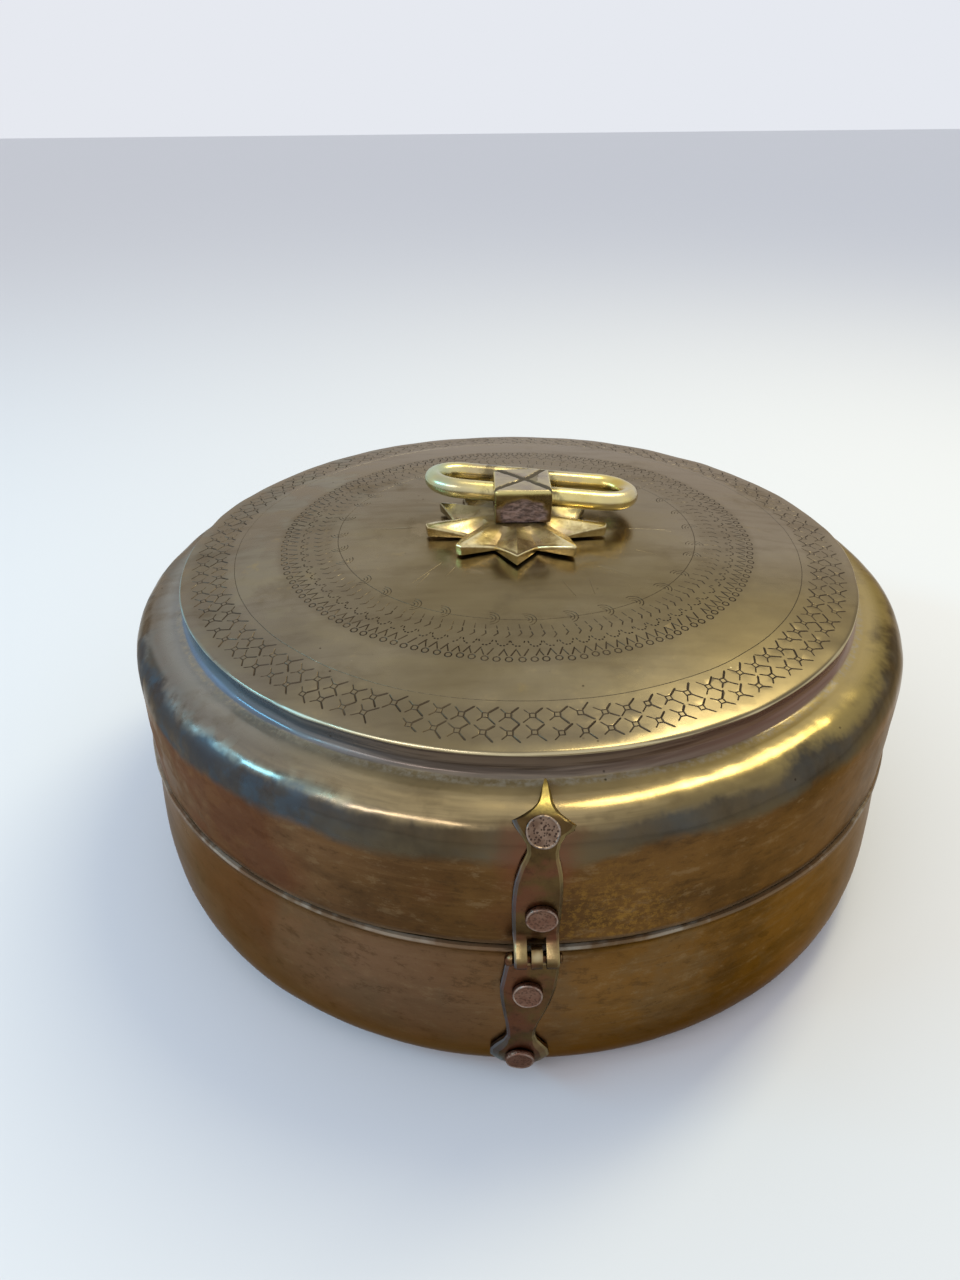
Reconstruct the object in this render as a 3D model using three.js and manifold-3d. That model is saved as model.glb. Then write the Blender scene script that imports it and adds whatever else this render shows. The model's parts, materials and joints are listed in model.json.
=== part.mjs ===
import * as THREE from 'three';
import { mergeVertices } from 'three/addons/utils/BufferGeometryUtils.js';
import Module from 'manifold-3d';

const wasm = await Module();
wasm.setup();

// A round brass bread box with a hinged lid, a ring handle and a swinging hasp.
// Millimetres, Z up. It stands on Z = 0, centred on the Z axis, with its hinge towards -Y.

// Fits
const seatGap = 0.3;
const seamGap = 0.4;
const runGap = 0.3;
const cutOverrun = 3;

// Body, a beaten pan with a rolled lip
const bodySheet = 1.2;
const bodyHeight = 62.9;
const bodyRimRadius = 149.6;
const bellySwell = 2;
const bellyHeight = 25;
const baseCornerReach = 14.6;
const lipHeight = 2.4;
const lipOut = 0.9;
const lipShares = [[0.5, 0], [1, 0.35], [0.8, 0.75]];
const cornerPower = 2.4;

// Collar, a hoop inside the body's rim that locates the lid
const collarSheet = 1.2;
const collarDepth = 10;
const collarJog = 1.5;
const collarRise = 9.5;
const collarLead = 0.7;

// Lid: wall, shoulder, step and domed disc
const lidSheet = 1.2;
const lidSetIn = 0.6;
const lidWallHeight = 27.7;
const shoulderHeight = 19.2;
const shoulderReach = 20.3;
const shoulderPower = 3.3;
const stepHeight = 9.4;
const stepUndercut = 1.3;
const discEdge = 0.7;
const discRise = 9.4;
const domePower = 2.5;

// Straps of the hinge and of the hasp
const strapThickness = 2.2;
const knuckleThickness = 1.6;
const strapBevel = 0.5;
const bendReach = 2.5;
const bendShares = [0.4, 0.75, 1];
const curlStart = THREE.MathUtils.degToRad(120);
const curlEnd = THREE.MathUtils.degToRad(325);
const pinRadius = 1.3;
const pinHeadRadius = 2;
const pinHeadLength = 2.6;
const pinHeadShare = 0.7;
const pinPeenRadius = 1.8;
const pinPeenLength = 0.9;
const pinAboveRim = 1.1;
const knuckleHalfWidth = 6.5;
const tongueHalfWidth = 1.6;
const knuckleSideGap = 1.2;
const slotTopRise = 3;

// Lid strap of the hinge: how far from its tip, then its left and right edges, in shares of
// its length and of its half width
const lidStrapLength = 50.9;
const lidStrapHalfWidth = 8.7;
const lidStrapShares = [
  [0, 0.264, 0.368], [0.067, 0.161, 0.431], [0.122, 0.092, 0.466], [0.169, -0.011, 0.506],
  [0.199, -0.19, 0.58], [0.228, -0.46, 0.713], [0.258, -0.828, 0.931], [0.287, -0.736, 1.184],
  [0.311, -0.632, 1.103], [0.332, -0.529, 0.851], [0.368, -0.391, 0.69], [0.407, -0.362, 0.621],
  [0.444, -0.443, 0.638], [0.486, -0.557, 0.69], [0.549, -0.655, 0.759], [0.606, -0.736, 0.793],
  [0.686, -0.787, 0.816], [0.775, -0.816, 0.816], [0.903, -0.81, 0.787], [1, -0.793, 0.759],
];

// Body strap, used at the hinge and again under the hasp, given the same way from its head
const bodyStrapLength = 46.5;
const bodyStrapHalfWidth = 9.3;
const bodyStrapShares = [
  [0, -0.957, 0.785], [0.088, -1.022, 0.758], [0.206, -1.118, 0.699], [0.29, -1.102, 0.608],
  [0.383, -1.048, 0.473], [0.454, -0.995, 0.333], [0.525, -0.935, 0.188], [0.6, -0.892, 0.081],
  [0.658, -0.882, 0.054], [0.71, -1, 0.129], [0.766, -1.247, 0.312], [0.819, -1.43, 0.495],
  [0.895, -1.441, 0.57], [0.948, -1.28, 0.452], [1, -1.097, 0.258],
];

// Peened ends, by the flat left on them in shares of their radius
const peenFlatShare = 0.8;

// Rivets
const rivetHeadRadius = 4.8;
const rivetHeadHeight = 2;
const rivetHeadShares = [[1, 0.55], [0.85, 0.9]];
const rivetShankRadius = 2.4;
const rivetPeenRadius = 3.5;
const rivetPeenHeight = 1.4;
const lidRivetUpperFromTip = 15.8;
const lidRivetUpperAcross = 1;
const lidRivetLowerFromFoot = 7.1;
const lidRivetLowerAcross = 1.2;
const bodyRivetUpperFromHead = 10.6;
const bodyRivetUpperAcross = -2.1;
const bodyRivetLowerFromEnd = 5.9;
const bodyRivetLowerAcross = -4;

// Hasp, hinged on the rear body strap, with a slot that drops over the staple
const haspTipToRivet = 3.45;
const haspHalfWidth = 7.6;
const haspTipFlare = 2;
const haspFlareLength = 7;
const haspShares = [
  [0, 0.1], [0.05, 0.36], [0.11, 0.66], [0.17, 0.93], [0.23, 0.72], [0.31, 0.6], [0.42, 0.8],
  [0.55, 1], [0.8, 1], [0.92, 0.92], [1, 0.86],
];

// Staple on the lid's rear wall, and the rove plate that it is clenched over
const stapleWireRadius = 1.4;
const stapleSpacing = 8.5;
const stapleOut = 10.5;
const stapleRise = 20;
const stapleClench = 1.9;
const stapleBend = 1.9;
const haspSlotGap = 1;
const roveThickness = 1.2;
const roveHalfWidth = 4;
const roveMargin = 2.2;

// Rosette under the handle post
const petals = 10;
const petalTipRadius = 36;
const petalValleyRadius = 25.5;
const petalTipHeight = 4;
const petalValleyHeight = 2.9;
const hubRadius = 14;
const hubHeight = 5.2;
const hubGrooveDepth = 0.5;
const rosetteTurn = THREE.MathUtils.degToRad(-2);

// Handle post, with a stem through the lid
const postWidth = 22;
const postDepth = 23;
const postHeight = 13.2;
const postBevel = 0.9;
const postShift = 2.3;
const stemRadius = 4.5;
const stemPeenRadius = 7;
const stemPeenHeight = 2.2;
const washerRadius = 11;
const washerThickness = 1.6;
const crossHoleRadius = 5.2;
const crossHoleRise = 6.4;
const crossHoleBack = 1.5;

// Handle ring, a long link that swings in the post's cross hole
const ringLength = 85.5;
const ringBarRadius = 3.7;
const ringPitch = 23.4;
const ringSlide = 4.1;
const ringRoll = THREE.MathUtils.degToRad(5);
const ringYaw = THREE.MathUtils.degToRad(-2.5);

// Facets
const shellSegments = 60;
const rivetSegments = 14;
const barSegments = 12;

// Radii worked out from the body's rim
const bellyRadius = bodyRimRadius + bellySwell;
const baseRadius = bellyRadius - baseCornerReach;
const lidWallRadius = bodyRimRadius - lidSetIn;
const grooveRadius = lidWallRadius - shoulderReach;
const discRadius = grooveRadius + stepUndercut;

// Heights worked out from the sizes above
const lidRimZ = bodyHeight + seamGap;
const lidWallTopZ = lidRimZ + lidWallHeight;
const grooveZ = lidWallTopZ + shoulderHeight;
const discZ = grooveZ + stepHeight;
const discTopZ = discZ + discRise;

// The knuckles stand just clear of the body's lip
const knuckleRadius = pinRadius + runGap + knuckleThickness;
const curlRadius = pinRadius + runGap + knuckleThickness / 2;
const pinOut = bodyRimRadius + lipOut + seatGap + knuckleRadius;
const pinZ = bodyHeight + pinAboveRim;
const slotHalfWidth = tongueHalfWidth + knuckleSideGap;

// Finishes
const finish = {
  darkBrass: { color: 0x7d6a49, roughness: 0.42, metalness: 0.95 },
  wallBrass: { color: 0x6b5138, roughness: 0.45, metalness: 0.95 },
  innerBrass: { color: 0x8b7a58, roughness: 0.5, metalness: 0.9 },
  strapBrass: { color: 0x6f5640, roughness: 0.45, metalness: 0.95 },
  rivetCopper: { color: 0x8a6458, roughness: 0.55, metalness: 0.9 },
  castBrass: { color: 0x8c7a48, roughness: 0.38, metalness: 0.95 },
  polishedBrass: { color: 0xc9a94f, roughness: 0.25, metalness: 1 },
};

// Reads a three.js geometry as a solid, with shared corners joined and faces pointing out.
function toSolid(geometry) {
  const bare = geometry.clone();
  bare.deleteAttribute('normal');
  bare.deleteAttribute('uv');
  const merged = mergeVertices(bare);
  const position = merged.getAttribute('position');
  const corners = [];
  const triangle = [new THREE.Vector3(), new THREE.Vector3(), new THREE.Vector3()];
  let volume = 0;
  for (let i = 0; i < merged.index.count; i += 3) {
    const ids = [0, 1, 2].map((k) => merged.index.getX(i + k));
    if (new Set(ids).size < 3) {
      continue;
    }
    ids.forEach((id, k) => triangle[k].fromBufferAttribute(position, id));
    volume += triangle[0].dot(triangle[1].clone().cross(triangle[2]));
    corners.push(ids);
  }
  const turned = volume < 0 ? corners.map(([a, b, c]) => [a, c, b]) : corners;
  return new wasm.Manifold(new wasm.Mesh({
    numProp: 3,
    vertProperties: Float32Array.from(position.array),
    triVerts: Uint32Array.from(turned.flat()),
  }));
}

function toGeometry(solid) {
  const mesh = solid.getMesh();
  const geometry = new THREE.BufferGeometry();
  geometry.setAttribute('position', new THREE.BufferAttribute(mesh.vertProperties, 3));
  geometry.setIndex(new THREE.BufferAttribute(mesh.triVerts, 1));
  geometry.computeVertexNormals();
  return geometry;
}

function cut(solid, cutters) {
  return cutters.reduce((rest, cutter) => rest.subtract(toSolid(cutter)), solid);
}

function piece(name, geometry, look) {
  const mesh = new THREE.Mesh(geometry, new THREE.MeshStandardMaterial(finish[look]));
  mesh.name = name;
  return mesh;
}

// Turns a profile of [radius, height] points about Z.
function revolve(profile, segments) {
  const points = profile.map(([radius, height]) => new THREE.Vector2(radius, height));
  return new THREE.LatheGeometry(points, segments).rotateX(Math.PI / 2);
}

// Moves an open line of [radius, height] points sideways by a distance, to the right of its run.
function offsetLine(line, distance) {
  const points = line.map(([radius, height]) => new THREE.Vector2(radius, height));
  return points.map((point, i) => {
    const before = points[Math.max(i - 1, 0)];
    const after = points[Math.min(i + 1, points.length - 1)];
    const into = i > 0 ? point.clone().sub(before).normalize() : null;
    const onward = i < points.length - 1 ? after.clone().sub(point).normalize() : null;
    const a = into ?? onward;
    const b = onward ?? into;
    const bisector = new THREE.Vector2(a.y + b.y, -a.x - b.x).normalize();
    const spread = bisector.dot(new THREE.Vector2(a.y, -a.x));
    return [point.x + bisector.x * distance / spread, point.y + bisector.y * distance / spread];
  });
}

// A quarter of a rounded corner, from straight above the centre to straight beside it.
function roundedCorner(centre, across, up, power, steps) {
  return Array.from({ length: steps + 1 }, (_, i) => {
    const angle = Math.PI / 2 * i / steps;
    return [
      centre[0] + across * Math.sin(angle) ** (2 / power),
      centre[1] + up * Math.cos(angle) ** (2 / power),
    ];
  });
}

// Outside of the lid, from the top of the dome down to the rim
function lidOutside(domeSteps, shoulderSteps) {
  const dome = Array.from({ length: domeSteps }, (_, i) => {
    const share = i / domeSteps;
    return [discRadius * share, discZ + discRise * (1 - share ** domePower)];
  });
  const edge = [
    [discRadius - discEdge, discZ + discRise * (1 - (1 - discEdge / discRadius) ** domePower)],
    [discRadius, discZ - discEdge],
  ];
  const shoulderCentre = [grooveRadius, lidWallTopZ];
  const shoulder = roundedCorner(
    shoulderCentre, lidWallRadius - grooveRadius, shoulderHeight, shoulderPower, shoulderSteps,
  );
  return [...dome, ...edge, ...shoulder, [lidWallRadius, lidRimZ]];
}

// Inside of the lid, one sheet in from the outside
function lidInside(outside) {
  const inside = offsetLine(outside, lidSheet);
  inside[0] = [0, discTopZ - lidSheet];
  inside[inside.length - 1] = [lidWallRadius - lidSheet, lidRimZ];
  return inside;
}

const lidOuterLine = lidOutside(6, 8);
const lidInnerLine = lidInside(lidOuterLine);

function lidShellGeometry(cutters) {
  const profile = [...lidOuterLine, ...lidInnerLine.toReversed()];
  return toGeometry(cut(toSolid(revolve(profile, shellSegments)), cutters));
}

// Outside of the body below its lip, from the rim down to the edge of the flat base
function bodyOutside(wallSteps, cornerSteps) {
  const wallHeight = bodyHeight - lipHeight - bellyHeight;
  const wall = Array.from({ length: wallSteps }, (_, i) => {
    const share = i / wallSteps;
    const swell = (1 - Math.cos(Math.PI * share)) / 2;
    return [
      bodyRimRadius + (bellyRadius - bodyRimRadius) * swell,
      bodyHeight - lipHeight - wallHeight * share,
    ];
  });
  const corner = roundedCorner(
    [baseRadius, bellyHeight], bellyRadius - baseRadius, -bellyHeight, cornerPower, cornerSteps,
  );
  return [...wall, ...corner.reverse()];
}

const bodyOuterLine = bodyOutside(4, 7);
const bodyInnerLine = offsetLine(bodyOuterLine, bodySheet);

function bodyShellGeometry(cutters) {
  const rimInside = [bodyRimRadius - bodySheet, bodyHeight];
  const lip = lipShares.map(([out, down]) => [
    bodyRimRadius + lipOut * out,
    bodyHeight - lipHeight * down,
  ]);
  const outside = [rimInside, ...lip, ...bodyOuterLine];
  const profile = [[0, bodySheet], ...bodyInnerLine.toReversed(), ...outside, [0, 0]];
  return toGeometry(cut(toSolid(revolve(profile, shellSegments)), cutters));
}

function collarGeometry() {
  const seated = bodyRimRadius - bodySheet - seatGap;
  const raised = Math.min(seated, lidWallRadius - lidSheet - seamGap);
  const outside = [
    [seated, bodyHeight - collarDepth],
    [seated, bodyHeight - collarJog],
    [raised, bodyHeight],
    [raised - collarLead, bodyHeight + collarRise],
  ];
  const inside = outside.map(([radius, height]) => [radius - collarSheet, height]);
  return toGeometry(toSolid(revolve([...outside, ...inside.reverse(), outside[0]], shellSegments)));
}

// A line of [radius, height] points that can be asked for a place a given way along it.
function runAlong(line) {
  const points = line.map(([radius, height]) => new THREE.Vector2(radius, height));
  const lengths = points.reduce((sums, point, i) => {
    sums.push(i > 0 ? sums[i - 1] + point.distanceTo(points[i - 1]) : 0);
    return sums;
  }, []);
  return (along) => {
    const next = lengths.findIndex((length) => length > along);
    const i = next < 1 ? points.length - 1 : next;
    const share = (along - lengths[i - 1]) / (lengths[i] - lengths[i - 1]);
    const run = points[i].clone().sub(points[i - 1]);
    const point = points[i - 1].clone().addScaledVector(run, share);
    run.normalize();
    return { point, run };
  };
}

// The lid's outside from the rim upwards, and the body's from the rim downwards
const lidRun = runAlong(lidOutside(24, 48).reverse());
const bodyRun = runAlong([[bodyRimRadius, bodyHeight], ...bodyOutside(24, 48)]);

// A seat on a sheet's outside: where it is, and which way is out
function lidSeat(along) {
  const { point, run } = lidRun(along);
  return { point, out: new THREE.Vector2(run.y, -run.x) };
}

function bodySeat(along) {
  const { point, run } = bodyRun(along);
  return { point, out: new THREE.Vector2(-run.y, run.x) };
}

// The bend off the wall and the curl round the pin, for a leaf that comes from above (+1)
// or from below (-1). The leaf's middle stands leafIn nearer the wall than the pin.
function curlStations(leafIn, side) {
  const out = (x, y, bent) => ({
    point: new THREE.Vector2(pinOut - x, pinZ + side * y),
    half: knuckleHalfWidth,
    centre: 0,
    wrap: 0,
    thickness: strapThickness + (knuckleThickness - strapThickness) * bent,
  });
  const sin = Math.sin(curlStart);
  const cos = Math.cos(curlStart);
  const slope = (leafIn - curlRadius * cos) / sin;
  const corner = [leafIn, curlRadius * sin - slope * cos];
  const toPin = [-sin, cos];
  const start = [corner[0], corner[1] + bendReach];
  const finish = [corner[0] + toPin[0] * bendReach, corner[1] + toPin[1] * bendReach];
  const stations = bendShares.map((t) => out(
    start[0] * (1 - t) ** 2 + 2 * corner[0] * t * (1 - t) + finish[0] * t ** 2,
    start[1] * (1 - t) ** 2 + 2 * corner[1] * t * (1 - t) + finish[1] * t ** 2,
    t,
  ));
  const arcSteps = 7;
  for (let i = 0; i <= arcSteps; i += 1) {
    const angle = curlStart + (curlEnd - curlStart) * i / arcSteps;
    stations.push(out(curlRadius * Math.cos(angle), curlRadius * Math.sin(angle), 1));
  }
  return { stations, startRise: start[1] };
}

// Faces each station of a strap squarely off its run.
function squareOff(stations, outwardSign) {
  stations.forEach((station, i) => {
    const before = stations[Math.max(i - 1, 0)].point;
    const after = stations[Math.min(i + 1, stations.length - 1)].point;
    const run = after.clone().sub(before).normalize();
    station.out = new THREE.Vector2(-run.y * outwardSign, run.x * outwardSign);
  });
  return stations;
}

// A strap with bevelled edges through its stations, on the -Y side of the box.
function strapSolid(stations) {
  const rows = stations.length - 1;
  const geometry = new THREE.BoxGeometry(1, 1, 1, 4, 1, rows);
  const position = geometry.getAttribute('position');
  for (let i = 0; i < position.count; i += 1) {
    const station = stations[Math.round((position.getZ(i) + 0.5) * rows)];
    const side = position.getX(i);
    const outer = position.getY(i) > 0;
    const bevel = Math.min(strapBevel, station.half / 2);
    const onEdge = Math.abs(side) > 0.4;
    const reach = onEdge ? station.half : station.half - bevel;
    const across = station.centre + (side === 0 ? 0 : Math.sign(side) * reach);
    const drop = onEdge && outer ? bevel : 0;
    const level = (outer ? station.thickness : -station.thickness) / 2 - drop;
    const radius = station.point.x;
    const sag = station.wrap * (radius - Math.sqrt(radius ** 2 - across ** 2));
    position.setXYZ(
      i,
      across,
      -(radius + station.out.x * level - sag),
      station.point.y + station.out.y * level,
    );
  }
  return toSolid(geometry);
}

// Where a rivet sits: its own Z axis points out of the sheet, from the strap's outer face.
function rivetPlace(seat, across) {
  const turn = across / seat.point.x;
  const radial = new THREE.Vector3(Math.sin(turn), -Math.cos(turn), 0);
  const out = radial.clone().multiplyScalar(seat.out.x).setZ(seat.out.y);
  const tangent = new THREE.Vector3(Math.cos(turn), Math.sin(turn), 0);
  const place = new THREE.Object3D();
  place.position.copy(radial.multiplyScalar(seat.point.x).setZ(seat.point.y));
  place.position.addScaledVector(out, seatGap + strapThickness);
  const upward = out.clone().cross(tangent);
  place.quaternion.setFromRotationMatrix(new THREE.Matrix4().makeBasis(tangent, upward, out));
  place.updateMatrix();
  return place;
}

// How much flatter than its round a faceted wall lies, a given way off the middle.
function facetDrop(across) {
  return across * Math.tan(Math.PI / shellSegments);
}

// How deep a rivet's peened end must lie, from the strap's outer face, to clear the inside line.
function rivetGrip(seat, innerLine) {
  const inside = runAlong(innerLine);
  const samples = 400;
  const length = innerLine.reduce((sum, [radius, height], i) => sum + (i > 0
    ? Math.hypot(radius - innerLine[i - 1][0], height - innerLine[i - 1][1]) : 0), 0);
  let depth = 0;
  for (let i = 0; i < samples; i += 1) {
    const offset = inside(length * i / samples).point.sub(seat.point);
    const sideways = Math.abs(offset.cross(seat.out));
    const inward = -offset.dot(seat.out);
    if (sideways <= rivetPeenRadius && inward < cutOverrun + rivetPeenRadius) {
      depth = Math.max(depth, inward);
    }
  }
  return strapThickness + seatGap + depth + facetDrop(rivetPeenRadius) + seatGap;
}

function rivetGeometry(grip) {
  return toGeometry(toSolid(revolve([
    [0, -grip - rivetPeenHeight],
    [rivetPeenRadius * peenFlatShare, -grip - rivetPeenHeight],
    [rivetPeenRadius, -grip - rivetPeenHeight / 2],
    [rivetPeenRadius, -grip],
    [rivetShankRadius, -grip],
    [rivetShankRadius, seatGap],
    [rivetHeadRadius, seatGap],
    ...rivetHeadShares.map(([across, up]) => [rivetHeadRadius * across, seatGap + rivetHeadHeight * up]),
    [0, seatGap + rivetHeadHeight],
  ], rivetSegments)));
}

function rivetCutter(place, side) {
  const length = 2 * (strapThickness + lidSheet + bodySheet + cutOverrun);
  const radius = rivetShankRadius + seatGap;
  const cutter = new THREE.CylinderGeometry(radius, radius, length, rivetSegments);
  cutter.rotateX(Math.PI / 2).applyMatrix4(place.matrix);
  return cutter.rotateZ(side);
}

function boxBetween(low, high) {
  const size = high.map((value, i) => value - low[i]);
  const middle = high.map((value, i) => (value + low[i]) / 2);
  return new THREE.BoxGeometry(...size).translate(...middle);
}

// How far the pin stands out from the middle of a leaf that lies on each wall
const lidLeafIn = pinOut - (lidWallRadius + seatGap + strapThickness / 2);
const bodyLeafIn = pinOut - (bodyRimRadius + seatGap + strapThickness / 2);

// Where the leaves start, along each wall from its rim
const lidLeafFoot = pinZ + curlStations(lidLeafIn, 1).startRise - lidRimZ;
const bodyLeafHead = bodyHeight - pinZ + curlStations(bodyLeafIn, -1).startRise;

// Rivets on the front, whose body pair the rear strap repeats on its own side
const front = 0;
const rear = Math.PI;

function rivetOn(seat, across, innerLine) {
  return { place: rivetPlace(seat, across), grip: rivetGrip(seat, innerLine) };
}

const lidUpperAlong = lidLeafFoot + lidStrapLength - lidRivetUpperFromTip;
const bodyLowerAlong = bodyLeafHead + bodyStrapLength - bodyRivetLowerFromEnd;
const lidRivets = {
  upper: rivetOn(lidSeat(lidUpperAlong), lidRivetUpperAcross, lidInnerLine),
  lower: rivetOn(lidSeat(lidLeafFoot + lidRivetLowerFromFoot), lidRivetLowerAcross, lidInnerLine),
};
const bodyRivets = {
  upper: rivetOn(bodySeat(bodyLeafHead + bodyRivetUpperFromHead), bodyRivetUpperAcross, bodyInnerLine),
  lower: rivetOn(bodySeat(bodyLowerAlong), bodyRivetLowerAcross, bodyInnerLine),
};

function rivetHoles(rivets, side) {
  return Object.values(rivets).map(({ place }) => rivetCutter(place, side));
}

function addRivets(group, label, rivets) {
  for (const [height, { place, grip }] of Object.entries(rivets)) {
    const rivet = piece(`${label}_rivet_${height}`, rivetGeometry(grip), 'rivetCopper');
    rivet.position.copy(place.position);
    rivet.quaternion.copy(place.quaternion);
    group.add(rivet);
  }
}

const slotTop = knuckleRadius + slotTopRise;

function lidStrapGeometry() {
  const { stations: curl } = curlStations(lidLeafIn, 1);
  const leaf = lidStrapShares.map(([share, left, right]) => {
    const along = lidLeafFoot + lidStrapLength * (1 - share);
    const { point, out } = lidSeat(along);
    return {
      point: point.clone().addScaledVector(out, seatGap + strapThickness / 2),
      half: lidStrapHalfWidth * (right - left) / 2,
      centre: lidStrapHalfWidth * (right + left) / 2,
      wrap: 1,
      thickness: strapThickness,
    };
  });
  const strap = strapSolid(squareOff([...leaf, ...curl], 1));
  const slot = boxBetween(
    [-slotHalfWidth, -(pinOut + knuckleRadius + cutOverrun), pinZ - knuckleRadius - cutOverrun],
    [slotHalfWidth, -lidWallRadius, pinZ + slotTop],
  );
  return toGeometry(cut(strap, [slot, ...rivetHoles(lidRivets, front)]));
}

function bodyStrapGeometry() {
  const { stations: curl } = curlStations(bodyLeafIn, -1);
  const leaf = bodyStrapShares.map(([share, left, right]) => {
    const along = bodyLeafHead + bodyStrapLength * share;
    const { point, out } = bodySeat(along);
    return {
      point: point.clone().addScaledVector(out, seatGap + strapThickness / 2),
      half: bodyStrapHalfWidth * (right - left) / 2,
      centre: bodyStrapHalfWidth * (right + left) / 2,
      wrap: 1,
      thickness: strapThickness,
    };
  });
  curl.slice(0, bendShares.length).forEach((station) => {
    station.half = leaf[0].half;
    station.centre = leaf[0].centre;
  });
  const strap = strapSolid(squareOff([...leaf.reverse(), ...curl], -1));
  const outermost = -(pinOut + knuckleRadius + cutOverrun);
  const high = pinZ + knuckleRadius + cutOverrun;
  const clearOfProngs = [-1, 1].flatMap((side) => {
    const inner = side * tongueHalfWidth;
    const outer = side * (leaf[0].half + knuckleHalfWidth + cutOverrun);
    const [left, right] = [Math.min(inner, outer), Math.max(inner, outer)];
    return [
      boxBetween([left, outermost, pinZ - knuckleRadius - seatGap], [right, -bodyRimRadius, high]),
      boxBetween([left, outermost, pinZ - 2 * knuckleRadius], [right, curlRadius / 2 - pinOut, high]),
    ];
  });
  return toGeometry(cut(strap, [...clearOfProngs, ...rivetHoles(bodyRivets, front)]));
}

// The hasp's leaf lies this far in from its pin, to its inner face
const haspReach = lidLeafIn + strapThickness / 2;

// Hanging, it ends a little above the strap's lower rivet
const haspBend = curlStations(lidLeafIn, 1).startRise;
const lowerRivetDrop = pinZ - bodyHeight + bodyLowerAlong;
const haspLength = lowerRivetDrop - rivetHeadRadius - haspTipToRivet - haspBend;

// The hasp as it lies when shut, up against the lid's wall
function haspSolid() {
  const { stations: curl } = curlStations(lidLeafIn, 1);
  const leaf = haspShares.map(([share, width]) => {
    const fromTip = haspLength * share;
    const flare = Math.max(0, 1 - fromTip / haspFlareLength) ** 2;
    return {
      point: new THREE.Vector2(
        pinOut - lidLeafIn + haspTipFlare * flare,
        pinZ + haspBend + haspLength - fromTip,
      ),
      half: haspHalfWidth * width,
      centre: 0,
      wrap: 1,
      thickness: strapThickness,
    };
  });
  const strap = strapSolid(squareOff([...leaf, ...curl], 1));
  const outermost = -(pinOut + knuckleRadius + cutOverrun);
  const knuckleSlot = boxBetween(
    [-slotHalfWidth, outermost, pinZ - knuckleRadius - cutOverrun],
    [slotHalfWidth, -lidWallRadius, pinZ + slotTop],
  );
  const wireReach = stapleSpacing / 2 + stapleWireRadius;
  const stapleTipIn = lidWallRadius + stapleOut - pinOut;
  const slotHigh = Math.hypot(stapleRise + wireReach, stapleTipIn) + haspSlotGap;
  const slotLow = Math.sqrt((stapleRise - wireReach - haspSlotGap) ** 2 - haspReach ** 2);
  const halfSlot = stapleWireRadius + haspSlotGap;
  const stapleSlot = boxBetween(
    [-halfSlot, outermost, pinZ + slotLow],
    [halfSlot, -lidWallRadius + cutOverrun, pinZ + slotHigh],
  );
  return cut(strap, [knuckleSlot, stapleSlot]);
}

// Hanging, the hasp leans in until its flared tip bears on the body strap
const haspTipDrop = haspLength + haspBend;
const strapFaceIn = pinOut - (bellyRadius + seatGap + strapThickness);
const haspLean = Math.asin(
  (strapFaceIn + haspReach - strapThickness - haspTipFlare - seatGap) / haspTipDrop,
);
const haspHang = Math.PI + haspLean;

function pinGeometry() {
  const reach = knuckleHalfWidth + seatGap;
  return toGeometry(toSolid(revolve([
    [0, -reach - pinHeadLength],
    [pinHeadRadius * pinHeadShare, -reach - pinHeadLength],
    [pinHeadRadius, -reach - pinHeadLength * pinHeadShare],
    [pinHeadRadius, -reach],
    [pinRadius, -reach],
    [pinRadius, reach],
    [pinPeenRadius, reach],
    [pinPeenRadius * peenFlatShare, reach + pinPeenLength],
    [0, reach + pinPeenLength],
  ], rivetSegments).rotateY(Math.PI / 2)));
}

// The staple's middle line, clenched up and down behind the rove plate
const roveGap = seatGap + facetDrop(roveHalfWidth);
const clenchIn = lidSheet + roveGap + roveThickness + seatGap + stapleWireRadius;

function stapleGeometry() {
  const half = stapleSpacing / 2;
  const arcOut = stapleOut - stapleWireRadius - half;
  const corners = [];
  const bendSteps = 3;
  const arcSteps = 8;
  const add = (out, up) => corners.push(new THREE.Vector3(0, -(lidWallRadius + out), up));
  add(-clenchIn, -half - stapleBend - stapleClench);
  for (let i = 0; i <= bendSteps; i += 1) {
    const angle = Math.PI / 2 * i / bendSteps;
    add(-clenchIn + stapleBend * (1 - Math.cos(angle)), -half - stapleBend * (1 - Math.sin(angle)));
  }
  for (let i = 0; i <= arcSteps; i += 1) {
    const angle = -Math.PI / 2 + Math.PI * i / arcSteps;
    add(arcOut + half * Math.cos(angle), half * Math.sin(angle));
  }
  for (let i = bendSteps; i >= 0; i -= 1) {
    const angle = Math.PI / 2 * i / bendSteps;
    add(-clenchIn + stapleBend * (1 - Math.cos(angle)), half + stapleBend * (1 - Math.sin(angle)));
  }
  add(-clenchIn, half + stapleBend + stapleClench);
  return barThrough(new THREE.CatmullRomCurve3(corners), stapleWireRadius, 8, 28);
}

// A round bar along a curve.
function barThrough(path, radius, sides, steps) {
  const section = new THREE.Shape();
  for (let i = 0; i < sides; i += 1) {
    const angle = 2 * Math.PI * i / sides;
    const at = [radius * Math.cos(angle), radius * Math.sin(angle)];
    if (i === 0) {
      section.moveTo(...at);
    } else {
      section.lineTo(...at);
    }
  }
  const geometry = new THREE.ExtrudeGeometry(section, {
    steps,
    extrudePath: path,
    bevelEnabled: false,
  });
  return toGeometry(toSolid(geometry));
}

function rovePlateGeometry() {
  const outer = lidWallRadius - lidSheet - roveGap;
  const half = stapleSpacing / 2 + stapleWireRadius + roveMargin;
  const plate = boxBetween(
    [-roveHalfWidth, -outer, -half],
    [roveHalfWidth, -outer + roveThickness, half],
  );
  return toGeometry(cut(toSolid(plate), stapleCutters()));
}

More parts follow.
